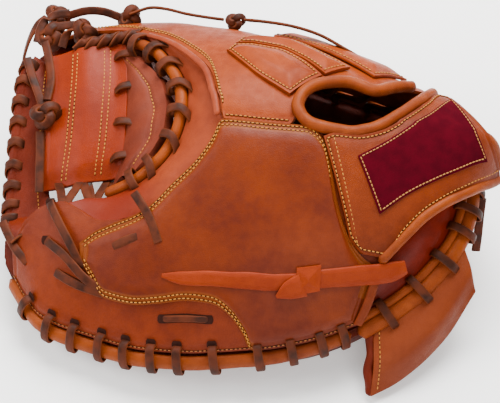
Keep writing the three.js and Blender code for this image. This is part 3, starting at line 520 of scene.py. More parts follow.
TOP_LACE_END = table("x y z", [
    (-0.002, 0.109, 0.0975),
    (0.007, 0.102, 0.104),
    (0.027, 0.095, 0.107),
    (0.045, 0.09, 0.104),
    (0.06, 0.0815, 0.101),
    (0.074, 0.074, 0.097),
])

TIP_LACE_LONG = table("x y z", [
    (-0.12, 0.125, 0.0845),
    (-0.108, 0.126, 0.088),
    (-0.097, 0.1255, 0.088),
    (-0.086, 0.122, 0.0865),
])

TIP_TAIL = table("x y z", [
    (-0.134, 0.122, 0.086),
    (-0.14, 0.115, 0.086),
    (-0.145, 0.107, 0.081),
    (-0.149, 0.101, 0.07),
    (-0.1505, 0.098, 0.06),
])

HEEL_TAIL = table("x y z", [
    (0.147, -0.0075, 0.058),
    (0.146, -0.014, 0.046),
    (0.1455, -0.019, 0.033),
    (0.145, -0.022, 0.022),
])

CROTCH_TAIL = table("x f", [
    (-0.07, 0.303),
    (-0.0665, 0.292),
    (-0.06, 0.268),
    (-0.055, 0.238),
])

WEB_TAIL = table("x y z", [
    (-0.1345, 0.036, 0.0715),
    (-0.134, 0.024, 0.067),
    (-0.134, 0.01, 0.061),
    (-0.134, -0.001, 0.056),
])

WEB_STRIP = table("x y z", [
    (-0.145, 0.088, 0.084),
    (-0.141, 0.074, 0.082),
    (-0.136, 0.06, 0.08),
    (-0.132, 0.048, 0.0765),
])

WEB_FOOT_LACE = table("x y z", [
    (-0.122, 0.005, 0.0565),
    (-0.119, -0.01, 0.0675),
    (-0.116, -0.025, 0.0735),
    (-0.111, -0.01, 0.0675),
    (-0.107, 0.005, 0.059),
    (-0.103, -0.01, 0.0665),
    (-0.099, -0.024, 0.0725),
])

LOOP_KEEPER = table("x0 f0 x1 f1", [
    (0.027, 0.158, 0.028, 0.199),
    (0.041, 0.158, 0.042, 0.199),
])

WRIST_BINDING = table("x f", [
    (0.065, 0.05),
    (0.072, 0.11),
    (0.077, 0.165),
])

TIP_UPPER = table("x f", [
    (-0.124, 0.286),
    (-0.116, 0.252),
    (-0.1085, 0.218),
    (-0.1035, 0.188),
])

TIP_LOWER = table("x f", [
    (-0.1265, 0.224),
    (-0.1135, 0.204),
    (-0.102, 0.175),
    (-0.0915, 0.158),
])

TIP_SLIT = table("x f", [
    (-0.1205, 0.172),
    (-0.1045, 0.158),
    (-0.09, 0.152),
])

SLOT_UPPER = table("x f", [
    (-0.0865, 0.222),
    (-0.075, 0.238),
    (-0.0625, 0.25),
])

SLOT_LOWER = table("x f", [
    (-0.0535, 0.1225),
    (-0.0395, 0.126),
    (-0.0255, 0.122),
])

LOOP_FOLD = table("x f", [
    (0.0155, 0.158),
    (0.023, 0.166),
    (0.0315, 0.172),
])

CORNER_OUTER = table("x y z", [
    (-0.1535, -0.024, 0.044),
    (-0.149, -0.038, 0.043),
    (-0.143, -0.048, 0.042),
])

CORNER_INNER = table("x y z", [
    (-0.128, -0.022, 0.046),
    (-0.127, -0.036, 0.045),
    (-0.126, -0.046, 0.044),
])

CORNER_LACES = table("lace x y z", [
    (1, -0.157, -0.018, 0.047),
    (1, -0.152, -0.03, 0.0475),
    (1, -0.1465, -0.041, 0.048),
    (1, -0.1395, -0.0485, 0.045),
    (2, -0.15, -0.036, 0.049),
    (2, -0.142, -0.031, 0.053),
    (2, -0.133, -0.026, 0.056),
    (2, -0.125, -0.024, 0.056),
    (3, -0.1374, 0.1063, 0.088),
    (3, -0.1308, 0.108, 0.091),
    (3, -0.1229, 0.1089, 0.092),
    (3, -0.1144, 0.1093, 0.0925),
    (3, -0.1059, 0.108, 0.091),
    (4, -0.1226, 0.0958, 0.086),
    (4, -0.1201, 0.1019, 0.09),
    (4, -0.1135, 0.1061, 0.094),
    (4, -0.1069, 0.1053, 0.094),
    (4, -0.1049, 0.0992, 0.09),
    (5, -0.1337, 0.0984, 0.088),
    (5, -0.1305, 0.085, 0.0855),
    (5, -0.1284, 0.069, 0.084),
    (5, -0.1304, 0.0546, 0.081),
    (6, -0.1392, 0.1002, 0.086),
    (6, -0.1357, 0.1125, 0.09),
    (6, -0.1279, 0.1177, 0.093),
    (6, -0.1181, 0.1195, 0.093),
])

# One tie of the web, from its left to its right, its lean in parts of the tie's own lean
WEB_TIE = table("x lean z", [
    (-0.0078, -1, 0.001),
    (-0.0045, -0.5, 0.0046),
    (0.003, 0, 0.0054),
    (0.01, 1, 0.0034),
    (0.0135, 1, -0.0002),
])

# One turn of the lace around the web's top
WEB_TOP_TURN = table("x y z", [
    (-0.003, -0.002, 0.0045),
    (0.004, 0.004, 0.0075),
    (0.009, 0.01, 0.001),
    (0.006, 0.006, -0.004),
])

KNOTS = (
    # name, place, radius, lean, spin and the solid that it stands for
    ("Top_knot", (-0.0095, 0.112, 0.093), 0.0040, 0.7, 0.3, "top_knot"),
    ("Tip_knot", (-0.127, 0.124, 0.085), 0.0052, 0.5, 2.2, "tip_knot"),
    ("Side_knot", (-0.079, 0.121, 0.086), 0.0052, 0.8, 1.2, "side_knot"),
    ("Web_knot", (-0.131, 0.044, 0.079), 0.0060, 0.5, 0.4, "web_knot"),
    ("Web_top_knot", (-0.108, 0.104, 0.090), 0.0056, 0.9, 1.9),
    ("Web_top_knot_left", (-0.130, 0.105, 0.086), 0.0058, 0.6, 0.9),
)

# Width of the thumb loop's strap and of its fold along them, in parts of the strap's width
LOOP_WIDTHS = table("place width", [
    (0, 0.2),
    (0.06, 0.7),
    (0.3, 0.84),
    (0.5, 0.8),
    (0.62, 1),
    (0.94, 1.05),
    (1, 0.75),
])

FOLD_WIDTHS = table("place width", [
    (0, 0.15),
    (0.5, 0.95),
    (1, 1.25),
])

# Row of stitches along the web's pad, which sinks it
PAD_SEAM = table("u v", [
    (0.04, 0.46),
    (0.15, 0.6),
    (0.3, 0.7),
    (0.5, 0.74),
    (0.75, 0.72),
    (0.95, 0.64),
])

# Rows of stitches across the web, by their place at its left and its right
WEB_SEAMS = table("left right", [
    (0.36, 0.24),
    (0.42, 0.3),
    (0.74, 0.67),
    (0.81, 0.74),
])

# Tables read by their place across the mitt, so that straight edges stay straight over its crown
LEVEL = [id(rows) for rows in (WRIST_STRAP, PATCH, OPENING_EDGE, STRAP_LOWER_EDGE)]

# Holes and turns of the laces, across the mitt in metres or in parts of an edge
THUMB_HOLES = np.array((
    -0.1397, -0.1255, -0.1103, -0.0928, -0.077, -0.0609, -0.0448, -0.0227, 0.0049, 0.0251, 0.0433, 0.0569,
))
FINGER_HOLES = np.linspace(-0.112, 0.122, 12)
HEEL_HOLES = np.array((0.13, 0.26, 0.38, 0.5, 0.59, 0.68))
CROTCH_TURNS = np.array((0.96, 0.86, 0.75, 0.62, 0.5, 0.38, 0.24, 0.14))
WEB_TURNS = np.linspace(0.06, 0.94, 9)
WEB_TIES = (0.12, 0.37, 0.64, 0.87)
WEB_TOP_TURNS = (0.42, 0.58, 0.74, 0.9, 1.06)


# Curves and surfaces


def smooth(xs, ys, x):
    """Cubic through the points that never swings past them."""
    xs, ys = np.asarray(xs, float), np.asarray(ys, float)
    x = np.asarray(x, float)
    width = np.diff(xs)
    rise = np.diff(ys) / width
    slope = np.zeros(len(xs))
    slope[0], slope[-1] = rise[0], rise[-1]
    for k in range(1, len(xs) - 1):
        if rise[k - 1] * rise[k] > 0:
            before = 2 * width[k] + width[k - 1]
            after = width[k] + 2 * width[k - 1]
            slope[k] = (before + after) / (before / rise[k - 1] + after / rise[k])
    k = np.clip(np.searchsorted(xs, x, side="right") - 1, 0, len(xs) - 2)
    t = np.clip((x - xs[k]) / width[k], 0, 1)
    start = ys[k] + t * t * (3 - 2 * t) * (ys[k + 1] - ys[k])
    return start + width[k] * t * (1 - t) * ((1 - t) * slope[k] - t * slope[k + 1])


def between(rows, t, column=None):
    """A table read between its rows, by a column or by row number."""
    count = len(next(iter(rows.values())))
    places = rows[column] if column else np.arange(count)
    return {name: smooth(places, values, t) for name, values in rows.items()}


def points_of(rows):
    """Points of a table in space."""
    return np.stack([rows["x"], rows["y"], rows["z"]], -1)


def rows_of(points):
    """A table in space of points."""
    return dict(zip("xyz", points.T))


def at(rows, t):
    """Points of an edge table, t from 0 at its first row to 1 at its last."""
    return points_of(between(rows, np.asarray(t, float) * (len(rows["x"]) - 1)))


def unit(vectors):
    """Vectors of length 1."""
    return vectors / np.maximum(np.linalg.norm(vectors, axis=-1, keepdims=True), 1e-12)


def square_to(along, vectors):
    """The part of the vectors square to along, at length 1."""
    return unit(vectors - along * np.sum(vectors * along, -1, keepdims=True))


def mix(a, b, t):
    """The value a part t of the way from a to b."""
    return a + (b - a) * t


def ease(low, high, x):
    """Soft step from 0 at low to 1 at high."""
    t = np.clip((x - low) / (high - low), 0, 1)
    return t * t * (3 - 2 * t)


def back_point(x, f):
    """Point of the back: f runs from the thumb-side rim (0) to the finger rim (1)."""
    x, f = np.broadcast_arrays(np.asarray(x, float), np.asarray(f, float))
    section = between(BACK, x, "x")
    near = f <= 0.5
    angle = np.pi * np.where(near, f, 1 - f)
    power = 2 / np.where(near, NEAR_ROUNDNESS, FAR_ROUNDNESS)
    across = np.maximum(np.cos(angle), 0) ** power
    up = np.maximum(np.sin(angle), 0) ** power
    rim_y = np.where(near, section["near_y"], section["far_y"])
    rim_z = np.where(near, section["near_z"], section["far_z"])
    y = mix(section["crown_y"], rim_y, across)
    return np.stack([x, y, mix(rim_z, section["crown_z"], up)], -1)


def back_normal(x, f):
    """Direction square to the back, away from the hand."""
    along = back_point(x + STEP, f) - back_point(x - STEP, f)
    around = back_point(x, np.minimum(f + PART, 1)) - back_point(x, np.maximum(f - PART, 0))
    return unit(np.cross(along, around))


def on_back(x, f, lift):
    """Point at a height above the back."""
    return back_point(x, f) + back_normal(x, f) * np.asarray(lift, float)[..., None]


def place_of(x, y):
    """The f of the back's point at a plan place."""
    section = between(BACK, x, "x")
    near = y <= section["crown_y"]
    rim_y = np.where(near, section["near_y"], section["far_y"])
    across = np.clip((y - section["crown_y"]) / (rim_y - section["crown_y"]), 0, 1)
    angle = np.arccos(across ** (np.where(near, NEAR_ROUNDNESS, FAR_ROUNDNESS) / 2)) / np.pi
    return np.where(near, angle, 1 - angle)


def plan_y(xs, fs, place):
    """How far across the mitt a line of the back is, between its rows."""
    return smooth(np.arange(len(xs)), back_point(xs, fs)[:, 1], place)


def rib_place(ribs, u, v):
    """(x, f) of a panel: u along its ribs and v from each rib's start to its end."""
    place = u * (len(ribs["x0"]) - 1)
    rib = between(ribs, place)
    x = mix(rib["x0"], rib["x1"], v)
    if id(ribs) not in LEVEL:
        return x, mix(rib["f0"], rib["f1"], v)
    start, end = (plan_y(ribs["x" + side], ribs["f" + side], place) for side in "01")
    return x, place_of(x, mix(start, end, v))


def strip_on_back(rows, lift, steps):
    """Points, side directions and normals of a strip that lies on the back."""
    places = np.linspace(0, len(rows["x"]) - 1, steps + 1)
    found = between(rows, places)
    x, f = found["x"], found["f"]
    if id(rows) in LEVEL:
        f = place_of(x, plan_y(rows["x"], rows["f"], places))
    points = on_back(x, f, lift)
    normal = back_normal(x, f)
    return points, unit(np.cross(np.gradient(points, axis=0), normal)), normal


def through(points, count):
    """A smooth curve through the points, in count steps."""
    points = np.asarray(points, float)
    ends = np.vstack([2 * points[0] - points[1], points, 2 * points[-1] - points[-2]])
    knots = np.concatenate([[0], np.cumsum(np.linalg.norm(np.diff(ends, axis=0), axis=1) ** 0.5)])
    t = np.linspace(0, len(points) - 1, count + 1)
    k = np.minimum(t.astype(int), len(points) - 2)
    a, b, c, d = (knots[k + n][:, None] for n in range(4))
    p, q, r, s = (ends[k + n] for n in range(4))
    x = b + (t - k)[:, None] * (c - b)
    pq = mix(p, q, (x - a) / (b - a))
    qr = mix(q, r, (x - b) / (c - b))
    rs = mix(r, s, (x - c) / (d - c))
    return mix(mix(pq, qr, (x - a) / (c - a)), mix(qr, rs, (x - b) / (d - b)), (x - b) / (c - b))


def lengths(points):
    """Distance along the points."""
    return np.concatenate([[0], np.cumsum(np.linalg.norm(np.diff(points, axis=0), axis=1))])


def read_line(places, run, points):
    """Points of a line at places of its run."""
    return np.stack([np.interp(places, run, points[:, k]) for k in range(3)], -1)


def resampled(points, step):
    """(points, directions) every step along a line, and centred on it."""
    run = lengths(points)
    count = max(int(run[-1] / step), 1)
    places = (np.arange(count) + 0.5) * run[-1] / count
    behind, here, ahead = (read_line(places + shift * step, run, points) for shift in (-0.25, 0, 0.25))
    return here, unit(ahead - behind)


def uneven(points, size, amount, seed):
    """Soft random heights, the same on each run."""
    flat = points.reshape(-1, 3)
    heights = [noise.noise(Vector(p) / size + Vector((seed, 2 * seed, 0))) for p in flat]
    return amount * np.array(heights).reshape(points.shape[:-1])


def sheet_point(first, second, u, v, lift):
    """Point between two edge tables, lifted off the middle of the sheet."""

    def middle(t):
        return mix(at(first, t), at(second, t), v[..., None])

    along = middle(np.minimum(u + PART, 1)) - middle(np.maximum(u - PART, 0))
    normal = unit(np.cross(along, at(second, u) - at(first, u)))
    normal = np.where(normal[..., 2:] < 0, -normal, normal)
    return middle(u) + normal * np.asarray(lift)[..., None]


def sheet_bulge(v, thickness, bulge):
    """Height of a sheet's top face, highest midway between its edges."""
    return thickness / 2 + bulge * np.sin(np.pi * v) ** 2


# Mesh pieces


def select_only(piece):
    """Leaves one piece selected and active."""
    bpy.ops.object.select_all(action="DESELECT")
    piece.select_set(True)
    bpy.context.view_layer.objects.active = piece


def grid(name, steps_u, steps_v):
    """A grid primitive and the row and column number of each of its points."""
    bpy.ops.object.select_all(action="DESELECT")
    bpy.ops.mesh.primitive_grid_add(x_subdivisions=steps_u, y_subdivisions=steps_v, size=1)
    piece = bpy.context.object
    piece.name = piece.data.name = name
    flat = np.empty(3 * len(piece.data.vertices))
    piece.data.vertices.foreach_get("co", flat)
    flat = flat.reshape(-1, 3)
    rows = np.rint((flat[:, 0] + 0.5) * steps_u).astype(int)
    columns = np.rint((flat[:, 1] + 0.5) * steps_v).astype(int)
    return piece, rows, columns


def lay(piece, points):
    """Puts a mesh at points of the drawing frame."""
    piece.data.vertices.foreach_set("co", (points - MIDDLE).ravel())
    piece.data.update()


def mark(piece, name, values):
    """A number on each point of a mesh, for its material to read."""
    attribute = piece.data.attributes.new(name, "FLOAT", "POINT")
    attribute.data.foreach_set("value", np.asarray(values, np.float32))


def dress(piece, finishes, *nodes, slot, smooth_angle=50):
    """Materials, smooth shading and place in the frame of a finished piece."""
    for name in finishes:
        piece.data.materials.append(bpy.data.materials[name])
    select_only(piece)
    bpy.ops.object.shade_smooth_by_angle(angle=math.radians(smooth_angle))
    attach(piece, "root")
    if nodes:
        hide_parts(*nodes)
    return piece


def apply_all(piece):
    """Applies every modifier of a piece."""
    select_only(piece)
    for modifier in list(piece.modifiers):
        bpy.ops.object.modifier_apply(modifier=modifier.name)


def grid_places(steps):
    """u and v of the points of a grid."""
    return np.meshgrid(np.linspace(0, 1, steps[0] + 1), np.linspace(0, 1, steps[1] + 1), indexing="ij")


def edge_distance(points):
    """Distance of each grid point from the sheet's edge."""
    across = np.linalg.norm(np.diff(points, axis=1), axis=-1).cumsum(1)
    across = np.pad(across, ((0, 0), (1, 0)))
    along = np.linalg.norm(np.diff(points, axis=0), axis=-1).cumsum(0)
    along = np.pad(along, ((1, 0), (0, 0)))
    beside = np.minimum(across, across[:, -1:] - across)
    return np.minimum(beside, np.minimum(along, along[-1:] - along))


def wall(name, points, outward, distance, thickness, rounding):
    """A wall under a grid of points, with rounded cut edges and each point's distance to them."""
    piece, i, j = grid(name, points.shape[0] - 1, points.shape[1] - 1)
    lay(piece, points[i, j])
    outward = outward[i, j]
    if sum(face.normal.dot(Vector(outward[face.vertices[0]])) for face in piece.data.polygons) < 0:
        piece.data.flip_normals()
    mark(piece, "edge", distance[i, j])
    skin = piece.modifiers.new("Wall", "SOLIDIFY")
    skin.thickness = thickness
    skin.offset = -1
    skin.use_even_offset = False
    skin.material_offset = 1
    skin.material_offset_rim = 2
    edge = piece.modifiers.new("Edge", "BEVEL")
    edge.width = rounding
    edge.segments = 3
    edge.limit_method = "ANGLE"
    edge.angle_limit = math.radians(BEVEL_ANGLE)
    apply_all(piece)
    return piece


def panel(
    name, ribs, top, thickness, finishes, slot, *nodes,
    steps, rows=(), groove=0.0005, puff=0.0, wrinkle=0.0, seed=1.0, rounding=0.0006, plain=None,
):
    """Leather on the back, its top face at a height, sunk along rows of stitching."""
    u, v = grid_places(steps)
    x, f = rib_place(ribs, u, v)
    base = back_point(x, f)
    distance = edge_distance(base)
    lift = top + puff * ease(0, PUFF_REACH, distance)
    for row in rows:
        lift = lift - groove * np.exp(-((distance - row) / GROOVE_WIDTH) ** 2)
    if wrinkle:
        lift = lift + uneven(base, WAVE_SIZE, wrinkle, seed) * ease(*WAVE_FADE, distance)
    if plain:
        distance = np.where(plain(u, v), 1.0, distance)
    piece = wall(name, on_back(x, f, lift), back_normal(x, f), distance, thickness, rounding)
    return dress(piece, finishes, *nodes, slot=slot)


def sheet(
    name, first, second, thickness, bulge, finishes, slot, *nodes,
    steps=(60, 24), form=None, wrinkle=0.0, seed=1.0, rounding=0.0008,
):
    """Leather between two edges in space."""
    u, v = grid_places(steps)
    lift = sheet_bulge(v, thickness, bulge)
    flat = sheet_point(first, second, u, v, lift)
    distance = edge_distance(flat)
    if form:
        lift = lift + form(u, v)
    lift = lift + uneven(flat, SHEET_WAVE_SIZE, wrinkle, seed) * ease(*SHEET_WAVE_FADE, distance)
    points = sheet_point(first, second, u, v, lift)
    outward = sheet_point(first, second, u, v, lift + STEP) - points
    piece = wall(name, points, outward, distance, thickness, rounding)
    return dress(piece, finishes, *nodes, slot=slot)


def ring_faces(count, corners):
    """Faces of a closed skin over rings of points, capped at both ends."""
    faces = []
    for k in range(count - 1):
        for c in range(corners):
            a, b = k * corners + c, k * corners + (c + 1) % corners
            faces.append((a, b, b + corners, a + corners))
    last = (count - 1) * corners
    return faces + [tuple(range(corners - 1, -1, -1)), tuple(range(last, last + corners))]


def closed(name, points, faces):
    """A closed mesh at points of the drawing frame, its faces outwards."""
    mesh = bpy.data.meshes.new(name)
    mesh.from_pydata((points - MIDDLE).tolist(), [], faces)
    piece = bpy.data.objects.new(name, mesh)
    bpy.context.scene.collection.objects.link(piece)
    select_only(piece)
    bpy.ops.object.mode_set(mode="EDIT")
    bpy.ops.mesh.select_all(action="SELECT")
    bpy.ops.mesh.normals_make_consistent(inside=False)
    bpy.ops.object.mode_set(mode="OBJECT")
    return piece


def loft(name, rings, raw=None):
    """Closed skin over rings of equal count, raw where its points are cut edge."""
    piece = closed(name, rings.reshape(-1, 3), ring_faces(*rings.shape[:2]))
    if raw is not None:
        mark(piece, "raw", np.tile(raw, len(rings)))
    return piece


def rings_along(points, sides, section, scale=None):
    """A flat section placed along points, square to them, its width along sides."""
    ahead = np.roll(points, -1, axis=0)
    behind = np.roll(points, 1, axis=0)
    ahead[-1], behind[0] = points[-1], points[0]
    direction = unit(ahead - behind)
    sides = square_to(direction, sides)
    up = np.cross(sides, direction)
    scale = np.ones(len(points)) if scale is None else scale
    wide = section[None, :, 0, None] * sides[:, None] + section[None, :, 1, None] * up[:, None]
    return points[:, None] + wide * scale[:, None, None]


def oval(width, height, corners):
    """Points around an oval."""
    angle = np.linspace(0, 2 * np.pi, corners, endpoint=False)
    return np.stack([np.cos(angle) * width / 2, np.sin(angle) * height / 2], -1)


def strap_section(width, thickness):
    """Outline of a flat strap with softened corners, and which of its points are cut edge."""
    w, t, corner = width / 2, thickness / 2, thickness * 0.32
    half = [(w, -t + corner), (w, t - corner), (w - corner, t * 0.96), (w / 3, t)]
    half += [(-a, b) for a, b in reversed(half[2:])]
    outline = half + [(-a, -b) for a, b in half]
    return np.array(outline), np.array([1, 1, 0, 0, 0, 0] * 2, float)


def ribbon(name, points, sides, width, thickness, *nodes, finish="Lace", slot="lace"):
    """A flat lace or strap through its points."""
    section, raw = strap_section(width, thickness)
    piece = loft(name, rings_along(points, sides, section), raw)
    return dress(piece, (finish,), *nodes, slot=slot, smooth_angle=70)


def roll(name, points, sides, size, finish, slot, *nodes, ripple=0.0, seed=1):
    """A stuffed roll or welt with round ends, of a width and a thickness."""
    width, thickness = size
    run = lengths(points)
    from_end = np.minimum(run, run[-1] - run) / (thickness / 2)
    scale = np.sqrt(np.clip(1 - (1 - np.clip(from_end, 0.02, 1)) ** 2, 0.02, 1))
    rings = rings_along(points, sides, oval(width, thickness, 16), scale)
    waves = uneven(rings, ROLL_WAVE_SIZE, ripple, seed)[..., None]
    rings = rings + unit(rings - points[:, None]) * waves
    return dress(loft(name, rings), (finish,), *nodes, slot=slot, smooth_angle=80)


# Frames along the edges: their points and the outward, forward and upward directions there


def rim_frames(x, rim):
    """Frames of the back's rim, at the thumb (0) or at the fingers (1)."""
    edge = back_point(x, rim)
    along = unit(back_point(x + STEP, rim) - back_point(x - STEP, rim))
    out = square_to(along, edge - back_point(x, mix(rim, 0.5, 0.14)))
    up = np.cross(along, out) if rim else np.cross(out, along)
    return edge, out, along, up


def heel_frames(t):
    """Frames of the heel's rim."""
    along = unit(at(HEEL_RIM, np.minimum(t + PART, 1)) - at(HEEL_RIM, np.maximum(t - PART, 0)))
    out = np.cross(along, UP)
    out[:, 2] = -0.6
    out = square_to(along, out)
    return at(HEEL_RIM, t), out, along, np.cross(out, along)


def crotch_line(count):
    """The edge of the crotch, in count steps."""
    return through(points_of(NOTCH)[CROTCH_START : CROTCH_END + 1], count)


def crotch_frames(t):
    """Frames of the edge of the crotch."""
    line = crotch_line(200)
    run = lengths(line) / lengths(line)[-1]
    along = unit(read_line(t + PART / 2, run, line) - read_line(t - PART / 2, run, line))
    out = unit(np.cross(along, UP))
    return read_line(t, run, line), out, along, unit(np.cross(out, along))


def web_rim_frames(t):
    """Frames of the outer edge of the web's rim."""
    edge = at(WEB_RIM_OUTER, t)
    along = unit(at(WEB_RIM_OUTER, t + PART) - at(WEB_RIM_OUTER, t - PART))
    out = unit(edge - at(WEB_RIM_INNER, t))
    up = unit(np.cross(along, out))
    return edge, out, along, np.where(up[:, 2:] < 0, -up, up)


def at_rim(frames, out, up):
    """Points beside an edge, by their distances outward and upward."""
    edge, outward, _, upward = frames
    return edge + outward * out + upward * up


# Laces


def round_turn(reach, height):
    """A turn around a round edge: out, up and the part of the way to the next turn."""
    k = np.arange(6)
    angle = np.pi * (3.5 - k) / 3
    return np.stack([reach * np.cos(angle), height * np.sin(angle), np.maximum(0, (k - 2) / 4)], -1)


def whip_lace(name, frames, turn, *nodes):
    """A lace whipped around an edge, one turn at each frame."""
    edge, outward, along, upward = frames
    count = len(edge)
    points, sides = [], []
    for k in range(count):
        then = min(k + 1, count - 1)
        for out, up, on in turn if then > k else turn[:5]:
            here = edge[k] + outward[k] * out + upward[k] * up
            there = edge[then] + outward[then] * out + upward[then] * up
            points.append(mix(here, there, on))
            sides.append(along[k])
    steps = 4 * (len(points) - 1)
    places = np.linspace(0, len(sides) - 1, steps + 1)
    sides = read_line(places, np.arange(len(sides)), np.array(sides))
    sizes = bpy.context.scene.mitt
    return ribbon(name, through(points, steps), sides, sizes.lace_width, sizes.lace_thickness, *nodes)


def loose_lace(name, points, side, *nodes, count=24):
    """A lace through points in space, its width near to one direction, and its line."""
    sizes = bpy.context.scene.mitt
    line = through(points, count)
    sides = np.tile(np.array(side, float), (count + 1, 1))
    return ribbon(name, line, sides, sizes.lace_width, sizes.lace_thickness, *nodes), line


def back_lace(name, rows, lift, *nodes, arch=0.0, slim=1.0):
    """A lace on the back, its ends going down through the leather, and its line."""
    sizes = bpy.context.scene.mitt
    line, sides, normal = strip_on_back(rows, lift, 20)
    line = line + normal * (np.sin(np.linspace(0, np.pi, len(line)))[:, None] ** 0.6 - 0.8) * arch
    return ribbon(name, line, sides, sizes.lace_width * slim, sizes.lace_thickness, *nodes), line


def knot(name, place, radius, lean, spin, *nodes):
    """A lace wound twice around itself and drawn tight."""
    turn = np.linspace(0, 4 * np.pi * 0.995, 121)
    swing = 1.5 * turn
    reach = radius * (1.3 + np.cos(swing)) / 2
    line = np.stack([1.25 * reach * np.cos(turn), reach * np.sin(turn), radius * np.sin(swing) * 0.62], -1)
    tilt = Matrix.Rotation(lean, 3, "X")
    out = line @ np.array(tilt @ Matrix.Rotation(spin, 3, "Z")).T
    line = out + place
    facing = 0.75 * unit(out) + 0.8 * np.array(tilt @ Vector(UP))
    sides = np.cross(unit(np.gradient(line, axis=0)), unit(facing))
    ribbon(name, line, sides, radius * 1.1, radius * 0.52, *nodes)


# Finishes


class Wire:
    """A node's socket that sums and products can be written with."""

    def __init__(self, look, socket):
        self.look = look
        self.socket = socket

    def maths(self, operation, other):
        """A Math node of this socket and a number or a socket."""
        return self.look.node("ShaderNodeMath", {"operation": operation}, {0: self, 1: other})

    def __add__(self, other):
        return self.maths("ADD", other)

    def __mul__(self, other):
        return self.maths("MULTIPLY", other)

    __radd__ = __add__
    __rmul__ = __mul__


def tint(code):
    """Linear colour of a six-digit colour code."""
    parts = [int(code[k : k + 2], 16) / 255 for k in (0, 2, 4)]
    return tuple(c / 12.92 if c <= 0.04045 else ((c + 0.055) / 1.055) ** 2.4 for c in parts) + (1.0,)


class Look:
    """One material and its nodes."""

    def __init__(self, name, **values):
        self.material = bpy.data.materials.new(name)
        self.material.use_nodes = True
        self.tree = self.material.node_tree
        self.shader = self.tree.nodes["Principled BSDF"]
        for key, value in values.items():
            self.shader.inputs[key.replace("_", " ")].default_value = value
        self.place = self.node("ShaderNodeTexCoord", {}, {}, "Object")

    def node(self, kind, settings, inputs, output=0):
        """Makes a node with its settings and inputs, and gives one output."""
        made = self.tree.nodes.new(kind)
        for key, value in settings.items():
            setattr(made, key, value)
        for key, value in inputs.items():
            if isinstance(value, Wire):
                self.tree.links.new(value.socket, made.inputs[key])
            else:
                made.inputs[key].default_value = value
        return Wire(self, made.outputs[output])

    def noise(self, size, detail):
        """Soft noise whose patches have a size."""
        inputs = {"Vector": self.place, "Scale": 1 / size, "Detail": detail}
        return self.node("ShaderNodeTexNoise", {}, inputs)

    def cells(self, size):
        """Distance from the edges of small cells, for the pores of leather."""
        inputs = {"Vector": self.place, "Scale": 1 / size}
        return self.node("ShaderNodeTexVoronoi", {"feature": "DISTANCE_TO_EDGE"}, inputs)

    def number(self, name):
        """A number marked on the points of the mesh, or 0 where it has none."""
        return self.node("ShaderNodeAttribute", {"attribute_name": name}, {}, "Fac")

    def between(self, value, low, high, start=0.0, end=1.0):
        """Soft step of a value from start at low to end at high."""
        inputs = {"Value": value, "From Min": low, "From Max": high, "To Min": start, "To Max": end}
        return self.node("ShaderNodeMapRange", {"interpolation_type": "SMOOTHSTEP"}, inputs)

    def blend(self, factor, first, second):
        """A mix of two colours."""
        settings = {"data_type": "RGBA", "clamp_factor": True}
        return self.node("ShaderNodeMix", settings, {"Factor": factor, 6: first, 7: second}, 2)

    def put(self, key, wire):
        """Links a socket of the shader."""
        self.tree.links.new(wire.socket, self.shader.inputs[key])

    def bump(self, height, distance):
        """Fine relief of the surface."""
        self.put("Normal", self.node("ShaderNodeBump", {}, {"Height": height, "Distance": distance}))


def leather(name, colour, dark, roughness, grain, band=None, coat=0.03):
    """Oiled leather: fine grain, soft mottling, by request a lighter edge band, and painted shade where
    marked.
    """
    look = Look(name, Coat_Weight=coat, Coat_Roughness=0.3, Specular_IOR_Level=0.08)
    broad = look.between(look.noise(0.045, 2.0), 0.34, 0.68)
    mottle = look.between(look.noise(0.006, 4.0), 0.3, 0.75)
    base = look.blend(broad * 0.55 + mottle * 0.35, tint(colour), tint(dark))
    if band:
        base = look.blend(look.between(look.number("edge"), 0.0052, 0.0066, 0.75, 0.0), base, tint(band))
    # Painted shade: darkens the colour towards 5a0f02 where a mesh is marked with painted shade (the crotch
    # cuff).
    base = look.blend(look.number("painted_shade") * 0.75, base, tint("5a0f02"))
    pores = look.cells(PORE)
    base = look.blend(look.between(pores, 0.0, 0.12, 0.16 * grain, 0.0), base, tint("2a0f08"))
    look.put("Base Color", base)
    look.put("Roughness", look.between(mottle + broad * 0.5, 0.2, 1.3, roughness - 0.05, roughness + 0.09))
    look.bump(look.between(pores, 0.0, 0.22) * 0.6 + look.noise(0.0028, 4.0) * 1.5, 0.00016 * grain)


def two_tone(name, size, detail, first, second, **values):
    """A plain material that shifts between two colours in soft patches."""
    look = Look(name, **values)
    look.put("Base Color", look.blend(look.noise(size, detail), first, second))
    return look


